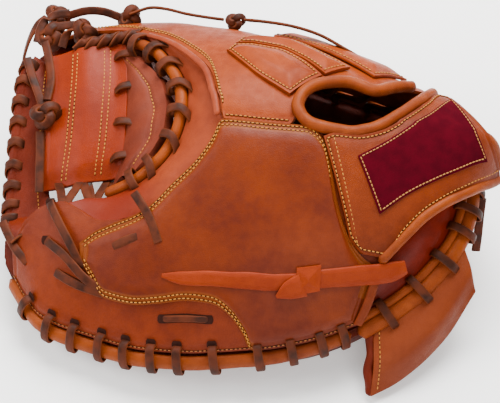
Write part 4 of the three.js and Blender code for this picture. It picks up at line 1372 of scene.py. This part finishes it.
def make_finishes():
    """Every material, named as the slots of the solids."""
    colours = bpy.context.scene.mitt
    leather("Back", "672507", "4a1507", 0.40, 0.5, band="703307", coat=0.04)
    leather("Tip", "702708", "501708", 0.42, 0.7, coat=0.04)
    leather("Finger", "833306", "631f03", 0.46, 0.7, coat=0.04)
    leather("Cuff", "7f3319", "60200c", 0.46, 0.6, coat=0.04)
    leather("Roll", "702905", "511a05", 0.46, 0.8)
    leather("Welt", "823707", "5f2307", 0.46, 0.8)
    leather("Lobe", "6f2e10", "5f230a", 0.46, 0.7, coat=0.04)
    leather("Heel", "6e1603", "4f0e02", 0.36, 0.5, coat=0.12)
    # Palm also dresses the web's left rim, where its dark colour is painted shade.
    leather("Palm", "5b1802", "480f02", 0.5, 0.9)
    leather("Web", "762102", "611802", 0.42, 0.6, coat=0.04)
    leather("Pad", "692d1d", "572115", 0.46, 0.7)
    leather("Strap", "802a04", "6b1e04", 0.55, 0.6)
    leather("Lining", "3a0c02", "280502", 0.3, 0.4, coat=0.0)
    two_tone("Raw", 0.0015, 3.0, tint("a4541e"), tint("7a3810"), Roughness=0.85, Specular_IOR_Level=0.2)
    flesh = two_tone(
        "Flesh", 0.004, 4.0, tint("8a4a30"), tint("62301e"), Roughness=0.9, Specular_IOR_Level=0.15
    )
    flesh.bump(flesh.noise(0.0006, 3.0), 0.0002)
    lace = Look("Lace", Specular_IOR_Level=0.1)
    worn = lace.between(lace.noise(0.009, 4.0), 0.3, 0.72)
    skin = lace.blend(worn, colours.lace_colour, tint("260f06"))
    lace.put("Base Color", lace.blend(lace.number("raw") * 0.45, skin, tint("6e3212")))
    lace.put("Roughness", lace.between(worn, 0.0, 1.0, 0.62, 0.5))
    lace.bump(lace.noise(0.0011, 4.0), 0.00018)
    patch = Look("Patch", Roughness=0.95, Specular_IOR_Level=0.04)
    nap = patch.between(patch.noise(0.008, 5.0), 0.3, 0.7)
    patch.put("Base Color", patch.blend(nap, colours.patch_colour, tint("37010b")))
    patch.bump(patch.noise(0.0005, 3.0), 0.0002)
    for name, colour in (
        ("Thread", colours.thread_colour),
        ("Thread_pale", tint("b07a3c")),
        # The darker thread for the rim seams is painted shade, for seams that lie in shadow.
        ("Thread_shaded", tint("8a4c1a")),
    ):
        two_tone(name, 0.0008, 2.0, colour, tint("7a4210"), Roughness=0.6, Specular_IOR_Level=0.3)
    # Near-black Hole finish: painted shade inside the punched lace holes and the stitch dimples.
    two_tone("Hole", 0.003, 2.0, tint("1c0c08"), tint("30140c"), Roughness=0.95, Specular_IOR_Level=0.1)
    floor = Look("Floor", Roughness=0.8, Specular_IOR_Level=0.2, Emission_Strength=0.3)
    white = floor.blend(floor.noise(0.4, 1.0), tint("f8f7f5"), tint("f4f2f0"))
    floor.put("Base Color", white)
    floor.put("Emission Color", white)


# Stitching


def bead(length, width, height, corners=6):
    """Rings of a small rounded bar: a stitch, or the dimple under one."""
    ring = np.column_stack([np.full(corners, length), oval(width, height, corners)])
    shape = ((-0.5, 0.35), (-0.36, 0.9), (0.36, 0.9), (0.5, 0.35))
    return np.array([ring * (place, size, size) for place, size in shape])


def scatter(name, rings, lines, pitch, finish, slot, sink=0.0):
    """One small shape every pitch along the lines, laid on their surface."""
    shape = rings.reshape(-1, 3)
    laid = []
    for line, normals in lines:
        places, along = resampled(line, pitch)
        above = resampled(line + normals * 0.01, pitch)[0]
        count = min(len(places), len(above))
        places, along = places[:count], along[:count]
        up = square_to(along, above[:count] - places)
        axes = np.stack([along, np.cross(up, along), up], 1)
        laid.append((places - up * sink)[:, None] + shape @ axes)
    points = np.concatenate(laid).reshape(-1, 3)
    faces = ring_faces(*rings.shape[:2])
    starts = range(0, len(points), len(shape))
    faces = [tuple(start + corner for corner in face) for start in starts for face in faces]
    dress(closed(name, points, faces), (finish,), slot=slot, smooth_angle=80)


def seam_on_panel(ribs, edge, inset, start, end, lift):
    """A line on the back beside one edge of a panel, and its normals."""
    t = np.linspace(start, end, SEAM_STEPS)
    over = np.linspace(0, 1, WIDTH_STEPS)[None]

    def place(t, part):
        return rib_place(ribs, t, part) if edge in ("start", "end") else rib_place(ribs, part, t)

    run = np.linalg.norm(np.diff(back_point(*place(t[:, None], over)), axis=1), axis=-1).sum(1)
    x, f = place(t, inset / run if edge in ("start", "first") else 1 - inset / run)
    return on_back(x, f, lift), back_normal(x, f)


def seam_on_sheet(first, second, places, thickness, bulge, form=None):
    """A line on a sheet between two edges in space, through (u, v) places, and its normals."""
    t = np.linspace(0, 1, SHEET_SEAM_STEPS)
    u, v = (smooth(np.linspace(0, 1, len(part)), part, t) for part in places)
    lift = sheet_bulge(v, thickness, bulge) + (form(u, v) if form else 0)
    line = sheet_point(first, second, u, v, lift)
    return line, unit(sheet_point(first, second, u, v, lift + STEP) - line)


def hole_lines(places, normals, along):
    """A short line at each place, for one round hole on it."""
    ends = np.array([-HOLE_REACH, 0, HOLE_REACH])[:, None]
    rows = zip(places, normals, along)
    return [(place + ends * way, np.tile(normal, (3, 1))) for place, normal, way in rows]


# Forms of the soft pieces


def palm_point(u, v, side):
    """Point of the padded palm: its outer face (side 0) or the hand's side (side 1)."""
    x = mix(*PALM_ENDS, u)
    section = between(BACK, x, "x")
    y = mix(section["near_y"] + PALM_INSET, section["far_y"] - PALM_INSET, v)
    rim_z = mix(section["near_z"], section["far_z"], v)
    power, end_power = PALM_POWERS
    out = np.abs(2 * v - 1) ** power + np.abs((x - PALM_MIDDLE) / PALM_HALF) ** end_power
    out = np.minimum(1, out ** (1 / power))
    row = between(PALM, out, "out")
    edge = ease(PALM_EDGE, 1, out)
    lip_line = through(points_of(NOTCH), 84)
    away = np.linalg.norm(np.stack([x, y], -1)[..., None, :] - lip_line[:, :2], axis=-1)
    lip = np.exp(-((away.min(-1) / NOTCH_REACH) ** 2))
    lip_z = lip_line[away.argmin(-1), 2] - PALM_LIP_DROP
    under_drop, over_drop = PALM_DROPS
    under = mix(mix(row["under"], rim_z - under_drop, edge), lip_z - PALM_WALL, lip)
    over = mix(mix(row["over"], rim_z - over_drop, edge), lip_z, lip)
    floor = np.maximum(under, 0)
    return np.stack([x, y, np.where(side > 0.5, np.maximum(over, floor + PALM_WALL - STEP), floor)], -1)


def lobe_form(u, v):
    """Extra height of the stuffed lobe."""
    return 0.004 * np.sin(np.pi * u) ** 0.7 * np.sin(np.pi * np.clip(v, 0, 1)) ** 0.8


def web_form(u, v):
    """Flutes of the web between its seams, and its curled foot."""
    return 0.0013 * np.cos(3 * np.pi * (v - 0.5)) - 0.0025 * ease(0.86, 1, u) + 0.0012 * ease(0.0, 0.08, v)


def pad_form(u, v):
    """Gathers of the web's pad."""
    gathers = 0.0005 * np.sin(9 * np.pi * u + 4 * v) * np.sin(np.pi * v) ** 0.6
    seam = np.interp(u, PAD_SEAM["u"], PAD_SEAM["v"])
    return gathers - 0.0013 * np.exp(-(((v - seam) / 0.05) ** 2))


# Pieces, an operator for each group


class Settings(bpy.types.PropertyGroup):
    """Sizes and colours that several pieces share."""

    lace_width: bpy.props.FloatProperty(
        name="Lace width", description="Width of every lace",
        default=0.0056, unit="LENGTH",
    )
    lace_thickness: bpy.props.FloatProperty(
        name="Lace thickness", description="Thickness of every lace",
        default=0.0019, unit="LENGTH",
    )
    stitch_pitch: bpy.props.FloatProperty(
        name="Stitch pitch", description="Distance from one stitch to the next",
        default=0.0027, unit="LENGTH",
    )
    wrinkle: bpy.props.FloatProperty(
        name="Unevenness", description="Height of the soft waves in the leather",
        default=0.0007, unit="LENGTH",
    )
    lace_colour: bpy.props.FloatVectorProperty(
        name="Lace colour", description="Colour of the laces where they are new",
        default=tint("4b1f0d"), subtype="COLOR", size=4, min=0, max=1,
    )
    thread_colour: bpy.props.FloatVectorProperty(
        name="Thread colour", description="Colour of the stitches in the back",
        default=tint("c07c20"), subtype="COLOR", size=4, min=0, max=1,
    )
    patch_colour: bpy.props.FloatVectorProperty(
        name="Patch colour", description="Colour of the cloth patch on the strap",
        default=tint("41020e"), subtype="COLOR", size=4, min=0, max=1,
    )


def aim(place, target):
    """Turn that points a camera or a lamp at its target."""
    return (Vector(target) - Vector(place)).to_track_quat("-Z", "Y").to_euler()


class Stage(bpy.types.Operator):
    """Floor, soft light and the photo's camera"""

    bl_idname = "mitt.stage"
    bl_label = "Stage"

    def execute(self, context):
        make_finishes()
        elevation = math.radians(CAMERA_ELEVATION)
        direction = Vector((0, -math.cos(elevation), math.sin(elevation)))
        place = Vector(CAMERA_TARGET) + CAMERA_REACH * direction
        bpy.ops.object.camera_add(location=place)
        camera = bpy.context.object
        camera.data.lens = CAMERA_LENS
        camera.data.clip_start = 0.05
        camera.rotation_euler = aim(place, CAMERA_TARGET)
        context.scene.camera = camera
        bpy.ops.mesh.primitive_plane_add(size=8)
        floor = bpy.context.object
        floor.name = "Floor"
        floor.data.materials.append(bpy.data.materials["Floor"])
        for name, place, power, size in LIGHTS:
            bpy.ops.object.light_add(type="AREA", location=place)
            light = bpy.context.object
            light.name = name
            light.data.energy = power
            light.data.size = size
            light.rotation_euler = aim(place, LIGHT_TARGET)
        world = bpy.data.worlds.new("Soft")
        world.use_nodes = True
        background = world.node_tree.nodes["Background"]
        background.inputs["Color"].default_value = (1, 1, 1, 1)
        background.inputs["Strength"].default_value = WORLD_STRENGTH
        context.scene.world = world
        return {"FINISHED"}


class Tails(bpy.types.Operator):
    """Free ends of the laces"""

    bl_idname = "mitt.tails"
    bl_label = "Lace tails"

    def execute(self, context):
        made = [
            loose_lace("Web_tail", points_of(WEB_TAIL), (1, 0, 0), "web_tail"),
            loose_lace("Tip_tail", points_of(TIP_TAIL), (0, 1, 0), "tip_tail"),
            loose_lace("Heel_tail", points_of(HEEL_TAIL), (1, 0, 0), "heel_tail"),
            back_lace("Crotch_tail", CROTCH_TAIL, 0.0042, "crotch_tail"),
        ]
        for piece, line in made:
            path = (line - MIDDLE).tolist()
        return {"FINISHED"}


class Palm(bpy.types.Operator):
    """Padded palm, open where the thumb and the fingers part, and the heel's lining"""

    bl_idname = "mitt.palm"
    bl_label = "Palm"

    def execute(self, context):
        steps, half = 84, 44
        piece, i, j = grid("Palm", steps, 2 * half + 1)
        side = (j > half).astype(float)
        v = np.where(side, 2 * half + 1 - j, j) / half
        lay(piece, palm_point(i / steps, v, side))
        bpy.ops.object.mode_set(mode="EDIT")
        bpy.ops.mesh.select_all(action="SELECT")
        bpy.ops.mesh.remove_doubles(threshold=0.00001)
        bpy.ops.mesh.select_all(action="DESELECT")
        bpy.ops.mesh.select_non_manifold()
        bpy.ops.mesh.edge_face_add()
        bpy.ops.mesh.select_all(action="SELECT")
        bpy.ops.mesh.fill_holes(sides=0)
        bpy.ops.mesh.normals_make_consistent(inside=False)
        bpy.ops.object.mode_set(mode="OBJECT")
        line = through(points_of(NOTCH), 60)[:, :2]
        outline = np.vstack([NOTCH_MOUTH[0], line, NOTCH_MOUTH[1]])
        low, high = (np.column_stack([outline, np.full(len(outline), z)]) for z in NOTCH_HEIGHTS)
        cutter = loft("Cutter", np.stack([low, high]))
        notch = piece.modifiers.new("Notch", "BOOLEAN")
        notch.object = cutter
        notch.operation = "DIFFERENCE"
        apply_all(piece)
        bpy.data.objects.remove(cutter)
        dress(piece, ("Palm",), "palm_pad", slot="palm")
        frames = heel_frames(np.linspace(0, 0.86, 12))
        inner, rim = rows_of(at_rim(frames, -0.034, -0.001)), rows_of(at_rim(frames, -0.003, -0.0035))
        sheet(
            "Heel_lining", inner, rim, LINING_THICKNESS, LINING_BULGE, ("Heel", "Heel", "Heel"), "palm",
            wrinkle=0.001, seed=21,
        )
        return {"FINISHED"}


class Lobe(bpy.types.Operator):
    """Soft heel lobe at the thumb side"""

    bl_idname = "mitt.lobe"
    bl_label = "Heel lobe"

    def execute(self, context):
        piece = sheet(
            "Heel_lobe", LOBE_TOP, LOBE_BOTTOM, LOBE_THICKNESS, LOBE_BULGE, ("Lobe", "Flesh", "Raw"),
            "finger", "heel_lobe", form=lobe_form, wrinkle=0.0008, seed=5,
        )
        v = np.linspace(0.02, 1.0, 40)
        lift = 0.001 + 0.0007 * np.sin(19 * v)
        edge = sheet_point(LOBE_TOP, LOBE_BOTTOM, np.full_like(v, 0.01), v, lift)
        edge = edge - np.array((0.0014, 0, 0)) * (1 + 0.6 * np.sin(11 * v + 1))[:, None]
        sides = np.tile((1.0, 0.0, 0.4), (len(v), 1))
        roll("Lobe_edge", edge, sides, (0.0066, 0.005), "Palm", "roll", ripple=0.0007, seed=8)
        return {"FINISHED"}


class Shells(bpy.types.Operator):
    """Thumb and finger shells and the panel over the thumb"""

    bl_idname = "mitt.shells"
    bl_label = "Shells and thumb panel"

    def execute(self, context):
        wave = context.scene.mitt.wrinkle
        panel(
            "Thumb_shell", THUMB_SHELL, 0.0, LEATHER, ("Tip", "Flesh", "Raw"), "tip", "thumb_shell",
            steps=(150, 40), rows=(SHELL_ROW,), wrinkle=wave, seed=1,
        )
        panel(
            "Finger_shell", FINGER_SHELL, 0.0, LEATHER, ("Finger", "Lining", "Raw"), "finger", "finger_shell",
            steps=(130, 60), rows=(SHELL_ROW,), wrinkle=wave * 1.2, seed=2,
        )
        panel(
            "Thumb_panel", THUMB_PANEL, TOP_LIFT, TOP_LEATHER, ("Back", "Flesh", "Raw"), "back",
            "thumb_panel", steps=(190, 90), rows=PANEL_ROWS, puff=0.0016, wrinkle=wave * 1.3, seed=3,
            plain=lambda u, v: (u > 0.6) & (v < 0.5),
        )
        return {"FINISHED"}


class Stalls(bpy.types.Operator):
    """Finger stalls, crotch strip and the heel's panel"""

    bl_idname = "mitt.stalls"
    bl_label = "Stalls and strips"

    def execute(self, context):
        stalls = (("Middle_stall", MIDDLE_STALL), ("Ring_stall", RING_STALL), ("Little_stall", LITTLE_STALL))
        for k, (name, ribs) in enumerate(stalls):
            panel(
                name, ribs, STALL_TOP, STALL_WALL, ("Finger", "Flesh", "Raw"), "finger", name.lower(),
                steps=(60, 30), rows=(STALL_ROW,), puff=0.003, wrinkle=0.0006, seed=4 + k,
            )
        line, sides, _ = strip_on_back(CROTCH_STRIP, GAP + 0.0008, 60)
        roll("Crotch_strip", line, sides, (0.0042, 0.0024), "Cuff", "finger", "crotch_strip")
        top = rows_of(on_back(HEEL_PANEL_TOP["x"], HEEL_PANEL_TOP["f"], -HEEL_SINK))
        sheet(
            "Heel_panel", top, HEEL_PANEL_FOOT, HEEL_PAD, HEEL_BULGE, ("Heel", "Flesh", "Raw"), "roll",
            "heel_panel", wrinkle=0.0006, seed=9,
        )
        return {"FINISHED"}


class Wrist(bpy.types.Operator):
    """Wrist strap, its rolls, patch and binding"""

    bl_idname = "mitt.wrist"
    bl_label = "Wrist"

    def execute(self, context):
        panel(
            "Wrist_strap", WRIST_STRAP, STRAP_TOP, LEATHER, ("Roll", "Flesh", "Raw"), "roll", "wrist_strap",
            steps=(110, 40), rows=STRAP_ROWS[:1], puff=0.0008, wrinkle=0.0004, seed=6,
        )
        panel(
            "Patch", PATCH, PATCH_TOP, PATCH_THICKNESS, ("Patch", "Patch", "Patch"), "patch", "patch",
            steps=(60, 30), rows=(PATCH_ROW,), groove=0.0002,
        )
        rolls = (
            ("Opening_roll", OPENING_EDGE, 0.0022, 0.0078, 90),
            ("Heel_roll", HEEL_EDGE, -0.001, 0.0104, 50),
            ("Strap_roll", STRAP_LOWER_EDGE, STRAP_LIFT + 0.001, 0.0068, 50),
        )
        for name, rows, lift, size, steps in rolls:
            line, sides, _ = strip_on_back(rows, lift, steps)
            piece = roll(
                name, line, sides, (size, size), "Welt", "roll", name.lower(), ripple=0.0004, seed=len(name)
            )
        line, sides, _ = strip_on_back(WRIST_BINDING, TOP_LIFT + 0.0014, 24)
        ribbon("Wrist_binding", line, sides, 0.006, 0.002, "wrist_binding", finish="Roll", slot="roll")
        return {"FINISHED"}


class Web(bpy.types.Operator):
    """Web, its rim and pad, and the cuff at the crotch"""

    bl_idname = "mitt.web"
    bl_label = "Web and crotch"

    def execute(self, context):
        sheet(
            "Web_panel", WEB_LEFT, WEB_RIGHT, WEB_THICKNESS, WEB_BULGE, ("Web", "Flesh", "Raw"), "web",
            "web_panel", steps=(60, 60), form=web_form, wrinkle=0.0005, seed=11,
        )
        # The web's rim takes the darker Palm finish: painted shade on the web's left side.
        sheet(
            "Web_rim", WEB_RIM_INNER, WEB_RIM_OUTER, WEB_THICKNESS, 0.0, ("Palm", "Flesh", "Raw"), "tip",
            "web_rim", steps=(60, 16), wrinkle=0.0004, seed=12,
        )
        inner, outer = (
            rows_of(np.vstack([at(rim, 0.96), points_of(corner)]))
            for rim, corner in ((WEB_RIM_INNER, CORNER_INNER), (WEB_RIM_OUTER, CORNER_OUTER))
        )
        # The corner also takes the darker Palm finish, as painted shade.
        sheet(
            "Web_corner", inner, outer, WEB_THICKNESS, 0.0, ("Palm", "Flesh", "Raw"), "tip",
            steps=(24, 16), wrinkle=0.0004, seed=15,
        )
        pad = sheet(
            "Web_pad", WEB_PAD_LEFT, WEB_PAD_RIGHT, WEB_PAD_THICKNESS, WEB_PAD_BULGE, ("Pad", "Pad", "Pad"),
            "pad", "web_pad", steps=(110, 30), form=pad_form, wrinkle=0.0006, seed=13, rounding=0.0028,
        )
        top = rows_of(on_back(CUFF_TOP["x"], CUFF_TOP["f"], -CUFF_SINK))
        foot = rows_of(at_rim(crotch_frames(np.linspace(0, 1, 15)), WELT_ROOM, 0))
        cuff = sheet(
            "Crotch_cuff", top, foot, CUFF_THICKNESS, CUFF_BULGE, ("Cuff", "Flesh", "Raw"), "cuff",
            "crotch_cuff", steps=(110, 20), wrinkle=0.0009, seed=14,
        )
        # Painted shade: the cuff is marked to be darker towards its thumb-tip end, in place of shade on its
        # lit top.
        mark(cuff, "painted_shade", [1 - ease(-0.078, -0.052, corner.co.x) for corner in cuff.data.vertices])
        return {"FINISHED"}


class Welts(bpy.types.Operator):
    """Welts along the rims and around the crotch"""

    bl_idname = "mitt.welts"
    bl_label = "Welts"

    def execute(self, context):
        thumb = rim_frames(np.linspace(-0.151, 0.062, 121), 0)
        finger = rim_frames(np.linspace(-0.130, 0.133, 131), 1)
        heel = heel_frames(np.linspace(0, 1, 91))
        inner = heel_frames(np.linspace(0.02, 0.9, 81))
        web = web_rim_frames(np.linspace(0.02, 0.98, 101))
        welt = (WELT_HEIGHT, WELT_THICKNESS)
        rolls = (
            # name, frames, distances outward and upward, size, finish, slot, seed and solid
            ("Thumb_welt", thumb, 0.002, 0, welt, "Welt", "roll", 3, "thumb_welt"),
            ("Heel_welt", heel, 0.002, 0, welt, "Welt", "roll", 3, "heel_welt"),
            ("Finger_welt", finger, 0.002, 0, welt, "Welt", "roll", 3, "finger_welt"),
            # Web_rim_edge takes the darker Palm finish: painted shade on the web's left side.
            ("Web_rim_edge", web, 0.0004, 0, (0.0074, 0.0046), "Palm", "tip", 6),
            ("Heel_welt_inner", inner, -0.0052, 0.0005, (0.0056, 0.0056), "Welt", "roll", 5),
        )
        for name, frames, out, up, size, finish, slot, seed, *node in rolls:
            line = at_rim(frames, out, up)
            roll(name, line, frames[1], size, finish, slot, *node, ripple=0.0003, seed=seed)
        line = crotch_line(90)
        sides = np.tile(UP, (len(line), 1))
        size = (CROTCH_WELT_SIZE, CROTCH_WELT_SIZE)
        roll("Crotch_welt", line, sides, size, "Welt", "roll", "crotch_welt", ripple=0.0004, seed=7)
        return {"FINISHED"}


class Lacing(bpy.types.Operator):
    """Laces whipped around the edges"""

    bl_idname = "mitt.lacing"
    bl_label = "Whip lacing"

    def execute(self, context):
        turn = np.stack([TURN["out"], TURN["up"], TURN["on"]], -1)
        whip_lace("Thumb_lace", rim_frames(THUMB_HOLES, 0), turn, "thumb_lace")
        whip_lace("Finger_lace", rim_frames(FINGER_HOLES, 1), turn, "finger_lace")
        whip_lace("Heel_lace", heel_frames(HEEL_HOLES), turn, "heel_lace")
        whip_lace("Crotch_lace", crotch_frames(CROTCH_TURNS), round_turn(0.0085, 0.0064), "crotch_lace")
        whip_lace("Web_lace", web_rim_frames(WEB_TURNS), round_turn(0.0056, 0.0040), "web_lace")
        return {"FINISHED"}


class Threaded(bpy.types.Operator):
    """Laces threaded through slits, web ties and knots"""

    bl_idname = "mitt.threaded"
    bl_label = "Threaded laces and knots"

    def execute(self, context):
        back_lace("Thumb_tip_lace_upper", TIP_UPPER, 0.0042, "thumb_tip_lace_upper", arch=0.004)
        back_lace("Thumb_tip_lace_lower", TIP_LOWER, 0.0034, "thumb_tip_lace_lower", arch=0.004)
        back_lace("Tip_slit_lace", TIP_SLIT, 0.0024, arch=0.003)
        back_lace("Thumb_lace_upper", SLOT_UPPER, 0.0034, "thumb_lace_upper", arch=0.0022)
        back_lace("Thumb_lace_lower", SLOT_LOWER, 0.0012, "thumb_lace_lower", arch=0.0024, slim=0.72)
        for k, t in enumerate(WEB_TIES):
            lean = 0.003 * math.sin(2.3 * k)
            route = at(WEB_RIGHT, t) + np.stack([WEB_TIE["x"], WEB_TIE["lean"] * lean, WEB_TIE["z"]], -1)
            loose_lace(f"Web_tie_{k + 1}", route, (0.15, 1, 0), f"web_tie_{k + 1}", count=16)
        left, right = at(WEB_LEFT, 0), at(WEB_RIGHT, 0)
        route = np.vstack([mix(left, right, t) + points_of(WEB_TOP_TURN) for t in WEB_TOP_TURNS])
        loose_lace("Web_top_lace", route, (0.9, 0.5, 0), count=110)
        for number in np.unique(CORNER_LACES["lace"]):
            route = points_of(CORNER_LACES)[CORNER_LACES["lace"] == number]
            loose_lace(f"Corner_lace_{number:.0f}", route, (0.8, 0.6, 0.3), count=28)
        foot = points_of(WEB_FOOT_LACE)
        loose_lace("Web_foot_lace", foot, (1, 0, 0), "web_foot_lace", count=60)
        loose_lace("Web_foot_lace_inner", foot * (0.9, 1, 1) + (0.006, 0.004, -0.004), (1, 0, 0.2), count=60)
        loose_lace("Top_lace", points_of(TOP_LACE), (0, 0.6, -0.8), "top_lace")
        loose_lace("Top_lace_end", points_of(TOP_LACE_END), (0, 0.6, -0.8), "top_lace_end")
        loose_lace("Tip_lace", points_of(TIP_LACE_LONG), (0, 0.6, 0.8), "tip_lace")
        loose_lace("Web_strip", points_of(WEB_STRIP), (1, 0, 0), "web_strip")
        for row in KNOTS:
            knot(*row)
        return {"FINISHED"}


class Loop(bpy.types.Operator):
    """Strap of the thumb loop, its fold and the band around it"""

    bl_idname = "mitt.loop"
    bl_label = "Thumb loop"

    def execute(self, context):
        section = strap_section(LOOP_STRAP_WIDTH, LOOP_STRAP_THICKNESS)[0]
        line, sides, _ = strip_on_back(THUMB_LOOP, LOOP_LIFT, 90)
        width = smooth(LOOP_WIDTHS["place"], LOOP_WIDTHS["width"], np.linspace(0, 1, 91))
        rings = rings_along(line, sides, section * (1.0, 1.25), width)
        rings = rings + uneven(rings, 0.02, 0.0009, 31)[..., None] * (0, 1, 1)
        dress(loft("Thumb_loop", rings), ("Strap",), "thumb_loop", slot="strap", smooth_angle=70)
        line, sides, _ = strip_on_back(LOOP_FOLD, KEEPER_LIFT + 0.0008, 30)
        width = smooth(FOLD_WIDTHS["place"], FOLD_WIDTHS["width"], np.linspace(0, 1, 31))
        rings = rings_along(line, sides, section, width)
        dress(loft("Loop_fold", rings), ("Strap",), slot="strap", smooth_angle=70)
        panel(
            "Loop_keeper", LOOP_KEEPER, KEEPER_TOP, LOOP_STRAP_THICKNESS, ("Strap", "Strap", "Strap"),
            "strap", "loop_keeper", steps=(30, 30), puff=0.0024, rounding=0.0016,
        )
        return {"FINISHED"}


class Stitching(bpy.types.Operator):
    """Stitches, their dimples and the punched lace holes"""

    bl_idname = "mitt.stitching"
    bl_label = "Stitching"

    def execute(self, context):
        pitch = context.scene.mitt.stitch_pitch
        every_edge = ("start", "end", "first", "last")
        top = TOP_LIFT + STITCH_RISE
        strap_top = STRAP_TOP + STITCH_RISE / 2
        on_panel = []
        for inset in PANEL_ROWS:
            on_panel.append((THUMB_PANEL, "end", inset, 0.02, 0.84, top))
            on_panel.append((THUMB_PANEL, "start", inset, 0.02, 0.58, top))
        for inset in FINGER_ROWS:
            on_panel.append((FINGER_SHELL, "start", inset, 0.08, 0.48, STITCH_RISE))
        on_panel.append((FINGER_SHELL, "start", STALL_ROW, 0.5, 0.61, STITCH_RISE))
        for ribs in (MIDDLE_STALL, RING_STALL, LITTLE_STALL):
            for edge in every_edge:
                on_panel.append((ribs, edge, STALL_ROW, 0.06, 0.94, STALL_TOP + STITCH_RISE))
        for edge in ("start", "end"):
            on_panel.append((WRIST_STRAP, edge, STRAP_ROWS[0], 0.02, 0.98, strap_top))
        for inset in STRAP_ROWS:
            on_panel.append((WRIST_STRAP, "first", inset, 0.04, 0.96, strap_top))
        lines = [seam_on_panel(*row) for row in on_panel]
        web = (WEB_LEFT, WEB_RIGHT)
        for left, right in zip(WEB_SEAMS["left"], WEB_SEAMS["right"]):
            places = ((0.04, 0.5, 0.96), (left, (left + right) / 2, right))
            lines.append(seam_on_sheet(*web, places, WEB_THICKNESS, WEB_BULGE, web_form))
        for row in (
            (WEB_RIM_INNER, WEB_RIM_OUTER, ((0.05, 0.95), (0.3, 0.3)), WEB_THICKNESS, 0),
            (WEB_PAD_LEFT, WEB_PAD_RIGHT, PAD_SEAM.values(), WEB_PAD_THICKNESS, WEB_PAD_BULGE, pad_form),
            (LOBE_TOP, LOBE_BOTTOM, ((0.07, 0.07), (0.06, 0.94)), LOBE_THICKNESS, LOBE_BULGE, lobe_form),
        ):
            lines.append(seam_on_sheet(*row))
        at_rims = [
            seam_on_panel(THUMB_SHELL, "start", SHELL_ROW, 0.0, 0.95, STITCH_RISE),
            seam_on_panel(THUMB_PANEL, "start", SHELL_ROW, 0.58, 1.0, top),
            seam_on_panel(FINGER_SHELL, "end", SHELL_ROW, 0.0, 1.0, STITCH_RISE),
        ]
        on_patch = [seam_on_panel(PATCH, edge, PATCH_ROW, 0.03, 0.97, PATCH_TOP) for edge in every_edge]
        holes = []
        for frames in (rim_frames(THUMB_HOLES, 0), rim_frames(FINGER_HOLES, 1)):
            holes += hole_lines(at_rim(frames, -HOLE_INSET, 2 * HOLE_RISE), frames[3], frames[2])
        for rows, lift in ((SLOT_UPPER, top + 0.0008), (SLOT_LOWER, HOLE_RISE), (TIP_SLIT, HOLE_RISE)):
            line, _, normal = strip_on_back(rows, lift, 30)
            holes.append((line, normal))
        for row, k in ((TIP_UPPER, 0), (TIP_LOWER, 0), (TIP_LOWER, -1), (SLOT_LOWER, 0), (SLOT_LOWER, -1)):
            x, f = row["x"][k], row["f"][k]
            holes += hole_lines([on_back(x, f, HOLE_RISE)], [back_normal(x, f)], [np.array((1.0, 0, 0))])
        stitch = bead(pitch * 0.66, 0.00085, 0.0009)
        rim_stitch = bead(pitch * 0.62, 0.0008, 0.0008)
        dimple = bead(pitch * 1.04, 0.0011, 0.0003)
        # Dark discs over the lace holes and dark dimples under the stitches are painted shade.
        scatter("Lace_holes", bead(HOLE_SIZE, HOLE_SIZE, 0.0005, 12), holes, 2 * HOLE_REACH, "Hole", "lace")
        scatter("Stitches", stitch, lines, pitch, "Thread", "lace", sink=-0.0001)
        # Rim seams take the darker thread: painted shade.
        scatter("Rim_stitches", rim_stitch, at_rims, pitch, "Thread_shaded", "lace", sink=-0.0001)
        scatter("Stitch_holes", dimple, lines + at_rims, pitch, "Hole", "lace", sink=0.00012)
        scatter("Patch_stitches", bead(0.0019, 0.0008, 0.0007), on_patch, 0.0024, "Thread_pale", "patch")
        return {"FINISHED"}


OPERATORS = (Stage, Tails, Palm, Lobe, Shells, Stalls, Wrist, Web, Welts, Lacing, Threaded, Loop, Stitching)


class MittPanel(bpy.types.Panel):
    """Sizes, colours and the steps in their order"""

    bl_idname = "VIEW3D_PT_mitt"
    bl_label = "Catcher's mitt"
    bl_space_type = "VIEW_3D"
    bl_region_type = "UI"
    bl_category = "Mitt"

    def draw(self, context):
        for name in Settings.__annotations__:
            self.layout.prop(context.scene.mitt, name)
        for operator in OPERATORS:
            self.layout.operator(operator.bl_idname)


def register():
    for made in (Settings, *OPERATORS, MittPanel):
        bpy.utils.register_class(made)
    bpy.types.Scene.mitt = bpy.props.PointerProperty(type=Settings)


def unregister():
    del bpy.types.Scene.mitt
    for made in (MittPanel, *reversed(OPERATORS), Settings):
        bpy.utils.unregister_class(made)


def main():
    register()
    bpy.ops.mitt.stage()
    bpy.ops.mitt.tails()
    bpy.ops.mitt.palm()
    bpy.ops.mitt.lobe()
    bpy.ops.mitt.shells()
    bpy.ops.mitt.stalls()
    bpy.ops.mitt.wrist()
    bpy.ops.mitt.web()
    bpy.ops.mitt.welts()
    bpy.ops.mitt.lacing()
    bpy.ops.mitt.threaded()
    bpy.ops.mitt.loop()
    bpy.ops.mitt.stitching()


if __name__ == "__main__":
    main()
